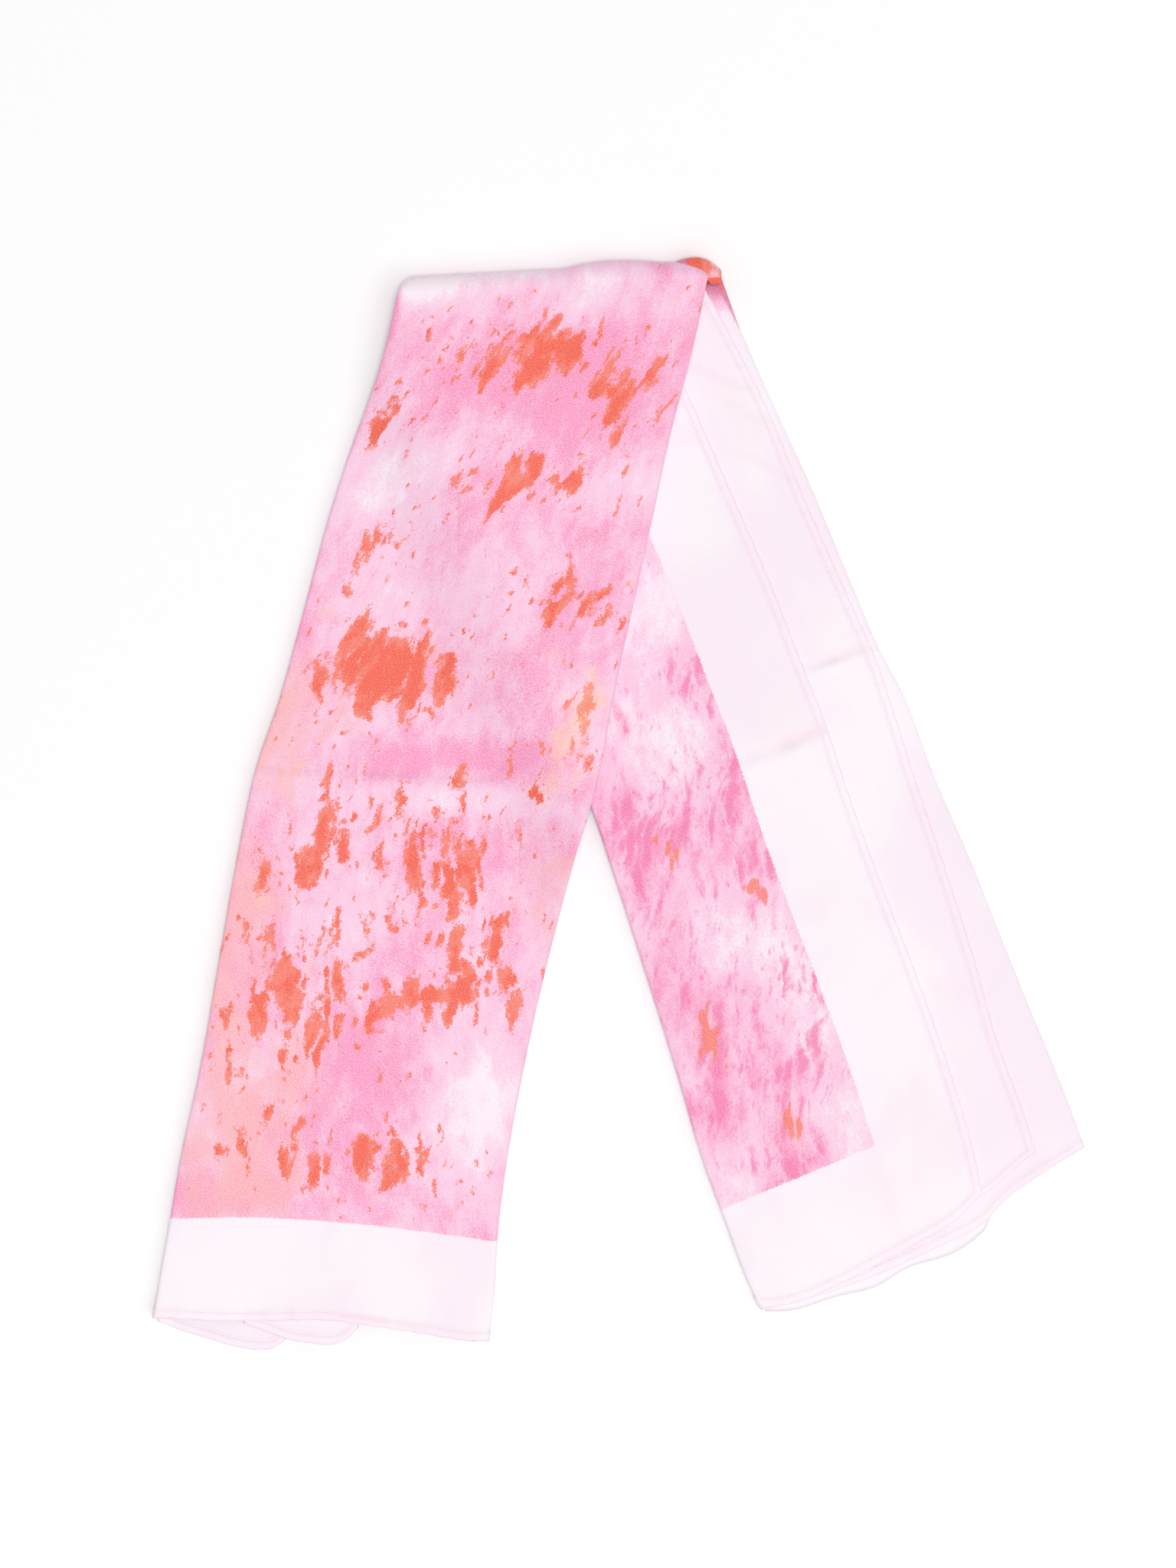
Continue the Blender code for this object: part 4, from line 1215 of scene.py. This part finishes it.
Rim = namedtuple("Rim", "node outline top radius")
END_RIMS = [
    Rim("left_end_fold", END_FOLD_RIM, 1.45, 0.65),
    Rim("left_end_hem", END_HEM_RIM, 3.7, 0.42),
]


def on_rim(rim, x, from_edge, drop, cloth):
    """Points of a rim at a distance in from its outline."""
    outer = curve_value(*zip(*rim.outline), x)
    run = np.minimum(1.0, from_edge / (RIM_INNER_Y - outer))
    height = rim.top + 0.7 * hem_height(from_edge, x, cloth) - drop
    y = outer + (RIM_INNER_Y - outer) * run + 0.5 * scallop(x) * smooth_step(3.0, 0.0, from_edge)
    y = np.where(from_edge < 0, outer + from_edge, y)
    return raised(np.stack([x, y, np.broadcast_to(height, y.shape)], axis=-1), cloth)


def build_end_rim(rim, cloth):
    """The rim of lower layers, past the front stretch's hem at the left leg's end."""
    out, drop = lip(lip_steps(rim.radius, 2.5), rim.radius)
    inward = np.concatenate([np.linspace(0.0, 5.0, 14), np.linspace(6.0, 12.0, 4)])
    from_edge = np.concatenate([-out[::-1], inward]) + rim.radius
    drops = np.concatenate([drop[::-1], np.zeros(len(inward))])
    x = np.linspace(rim.outline[0].x, rim.outline[-1].x, 48)
    grid_x, grid_edge = np.meshgrid(x, from_edge)
    amounts = print_amounts(PLAIN, grid_x, grid_edge, seam=painted_seam_shade(grid_edge, 0.0, cloth))
    piece = cloth_piece(rim.node + "_satin", on_rim(rim, grid_x, grid_edge, drops[:, None], cloth),
                        (grid_x, grid_edge), amounts, ["plain satin"], cloth)
    sewn_x = np.linspace(x[0] + 2.0, x[-1] - 2.0, 60)
    seam = on_rim(rim, sewn_x, np.full_like(sewn_x, cloth.stitch_inset / MM), 0.0, cloth)
    stitches = sewn(rim.node + "_stitches", [seam], cloth)
    stands_for(rim.node)


CURL_FROM, CURL_TO = 101.5, 104.5


def build_fold_roll(cloth):
    """The loose roll of the inner layers, open at the right end of the fold, where it curls back in."""
    stations, reaches, half_heights = zip(*ROLL_ROWS)
    across = np.linspace(stations[0], stations[-1], 34)
    reach, half_height = curve_value(stations, reaches, across), curve_value(stations, half_heights, across)
    angle = np.radians(np.concatenate([np.zeros(8), np.linspace(4.0, 178.0, 40)]))[:, None]
    back = np.concatenate([np.linspace(ROLL_RETURN, 0.3, 8), np.zeros(40)])[:, None]
    back = back * smooth_step(CURL_FROM, CURL_TO, across)[None]
    out = reach * np.sin(angle) + 0.5 * np.sin(2 * angle) - back
    height = FOLD_AXIS + half_height * np.cos(angle) - 0.28 * back ** 2
    grid_across = across + 0.0 * angle
    plan = (left_leg.point(0.0, np.array(0.0)) + FOLD_ACROSS * grid_across[..., None]
            + FOLD_OUTWARD * out[..., None])
    position = raised(np.concatenate([plan, height[..., None]], axis=-1), cloth)
    # The mauve amount is painted shade on the roll's left part, which lies in shade.
    amounts = print_amounts(ROLL_BASE, grid_across, angle, inside=20.0,
                            # Painted shade: where the lip curls back into the roll the dabs are full, a
                            # deeper orange for the hollow's shade.
                            dabs=1.0 + smooth_step(0.2, 1.2, back),
                            mauve=0.8 * smooth_step(98.5, 95.0, grid_across))
    piece = cloth_piece("fold_roll_satin", position, (grid_across, 6.0 * angle - back), amounts,
                        ["printed satin"], cloth)
    stands_for("fold_roll")


# ---- Operators
class BANDANA_OT_fold_layers(bpy.types.Operator):
    """Make the hidden layers of both legs and the loose roll in the fold"""
    bl_idname = "bandana.fold_layers"
    bl_label = "Hidden layers"

    def execute(self, context):
        cloth = context.scene.bandana_cloth
        build_right_hidden_layers(cloth)
        build_left_hidden_layers(cloth)
        build_fold_roll(cloth)
        return {"FINISHED"}


class BANDANA_OT_front_stretch(bpy.types.Operator):
    """Make the printed stretch on top of the left leg and the rims below it, with their sewn hems"""
    bl_idname = "bandana.front_stretch"
    bl_label = "Front stretch"

    def execute(self, context):
        cloth = context.scene.bandana_cloth
        build_front_stretch(cloth)
        for rim in END_RIMS:
            build_end_rim(rim, cloth)
        return {"FINISHED"}


class BANDANA_OT_right_panels(bpy.types.Operator):
    """Make the flap, the stretch below it and the side panel of the right leg, with their sewn hems"""
    bl_idname = "bandana.right_panels"
    bl_label = "Right leg's panels"

    def execute(self, context):
        cloth = context.scene.bandana_cloth
        build_side_panel(cloth)
        build_right_under_flap(cloth)
        build_right_flap(cloth)
        return {"FINISHED"}


class BANDANA_OT_stage(bpy.types.Operator):
    """Make the floor, the soft light and the camera above the cloth"""
    bl_idname = "bandana.stage"
    bl_label = "Studio"

    def execute(self, context):
        scene = context.scene
        stage = scene.bandana_stage
        build_floor()
        build_light(scene, stage)
        build_camera(scene, stage)
        return {"FINISHED"}


def build_floor():
    shape = bmesh.new()
    bmesh.ops.create_grid(shape, x_segments=1, y_segments=1, size=6.0)
    in_scene("studio_floor", mesh_of("studio_floor", shape), ["studio floor"])


def build_light(scene, stage):
    """Even light from all sides, a soft light overhead and a broad one from the lower right."""
    world = bpy.data.worlds.new("studio")
    world.use_nodes = True
    background = world.node_tree.nodes["Background"]
    background.inputs["Color"].default_value = (1.0, 0.965, 0.98, 1.0)
    background.inputs["Strength"].default_value = stage.light_from_all
    scene.world = world
    for name, power, size, place in (
        ("overhead_light", stage.overhead, 1.5, (0.20, -0.20, 4.6)),
        ("side_light", stage.side, 3.2, (1.9, -1.75, 3.6)),
    ):
        box = bpy.data.lights.new(name, "AREA")
        box.shape = "DISK"
        box.size = size
        box.color = (1.0, 1.02, 1.012)
        box.energy = power
        lamp = bpy.data.objects.new(name, box)
        lamp.location = place
        lamp.rotation_euler = (-Vector(place)).to_track_quat("-Z", "Y").to_euler()
        scene.collection.objects.link(lamp)
    scene.view_settings.view_transform = "Standard"


def build_camera(scene, stage):
    """A long lens straight above the cloth."""
    data = bpy.data.cameras.new("camera")
    data.sensor_width = 36.0
    data.lens = data.sensor_width * stage.camera_height / stage.framed_height
    data.clip_end = 20.0
    camera = bpy.data.objects.new("camera", data)
    camera.location = (stage.centre_x, stage.centre_y, stage.camera_height)
    scene.collection.objects.link(camera)
    scene.camera = camera


class BANDANA_PT_sidebar(bpy.types.Panel):
    """The steps of the bandana, in order, and its settings"""
    bl_label = "Folded bandana"
    bl_idname = "BANDANA_PT_sidebar"
    bl_space_type = "VIEW_3D"
    bl_region_type = "UI"
    bl_category = "Bandana"

    def draw(self, context):
        for step in STEPS:
            self.layout.operator(step.bl_idname)
        for group in SETTINGS:
            settings = getattr(context.scene, group)
            for name in settings.__annotations__:
                self.layout.prop(settings, name)


STEPS = (
    BANDANA_OT_fold_layers,
    BANDANA_OT_right_panels,
    BANDANA_OT_front_stretch,
    BANDANA_OT_stage,
)
SETTINGS = {
    "bandana_cloth": BandanaCloth,
    "bandana_print": BandanaPrint,
    "bandana_stage": BandanaStage,
}


def register():
    for group in (*SETTINGS.values(), *STEPS, BANDANA_PT_sidebar):
        bpy.utils.register_class(group)
    for name, group in SETTINGS.items():
        setattr(bpy.types.Scene, name, bpy.props.PointerProperty(type=group))


def unregister():
    for name in SETTINGS:
        delattr(bpy.types.Scene, name)
    for group in reversed((*SETTINGS.values(), *STEPS, BANDANA_PT_sidebar)):
        bpy.utils.unregister_class(group)


def main():
    register()
    bpy.ops.bandana.fold_layers()
    bpy.ops.bandana.right_panels()
    bpy.ops.bandana.front_stretch()
    bpy.ops.bandana.stage()


if __name__ == "__main__":
    main()
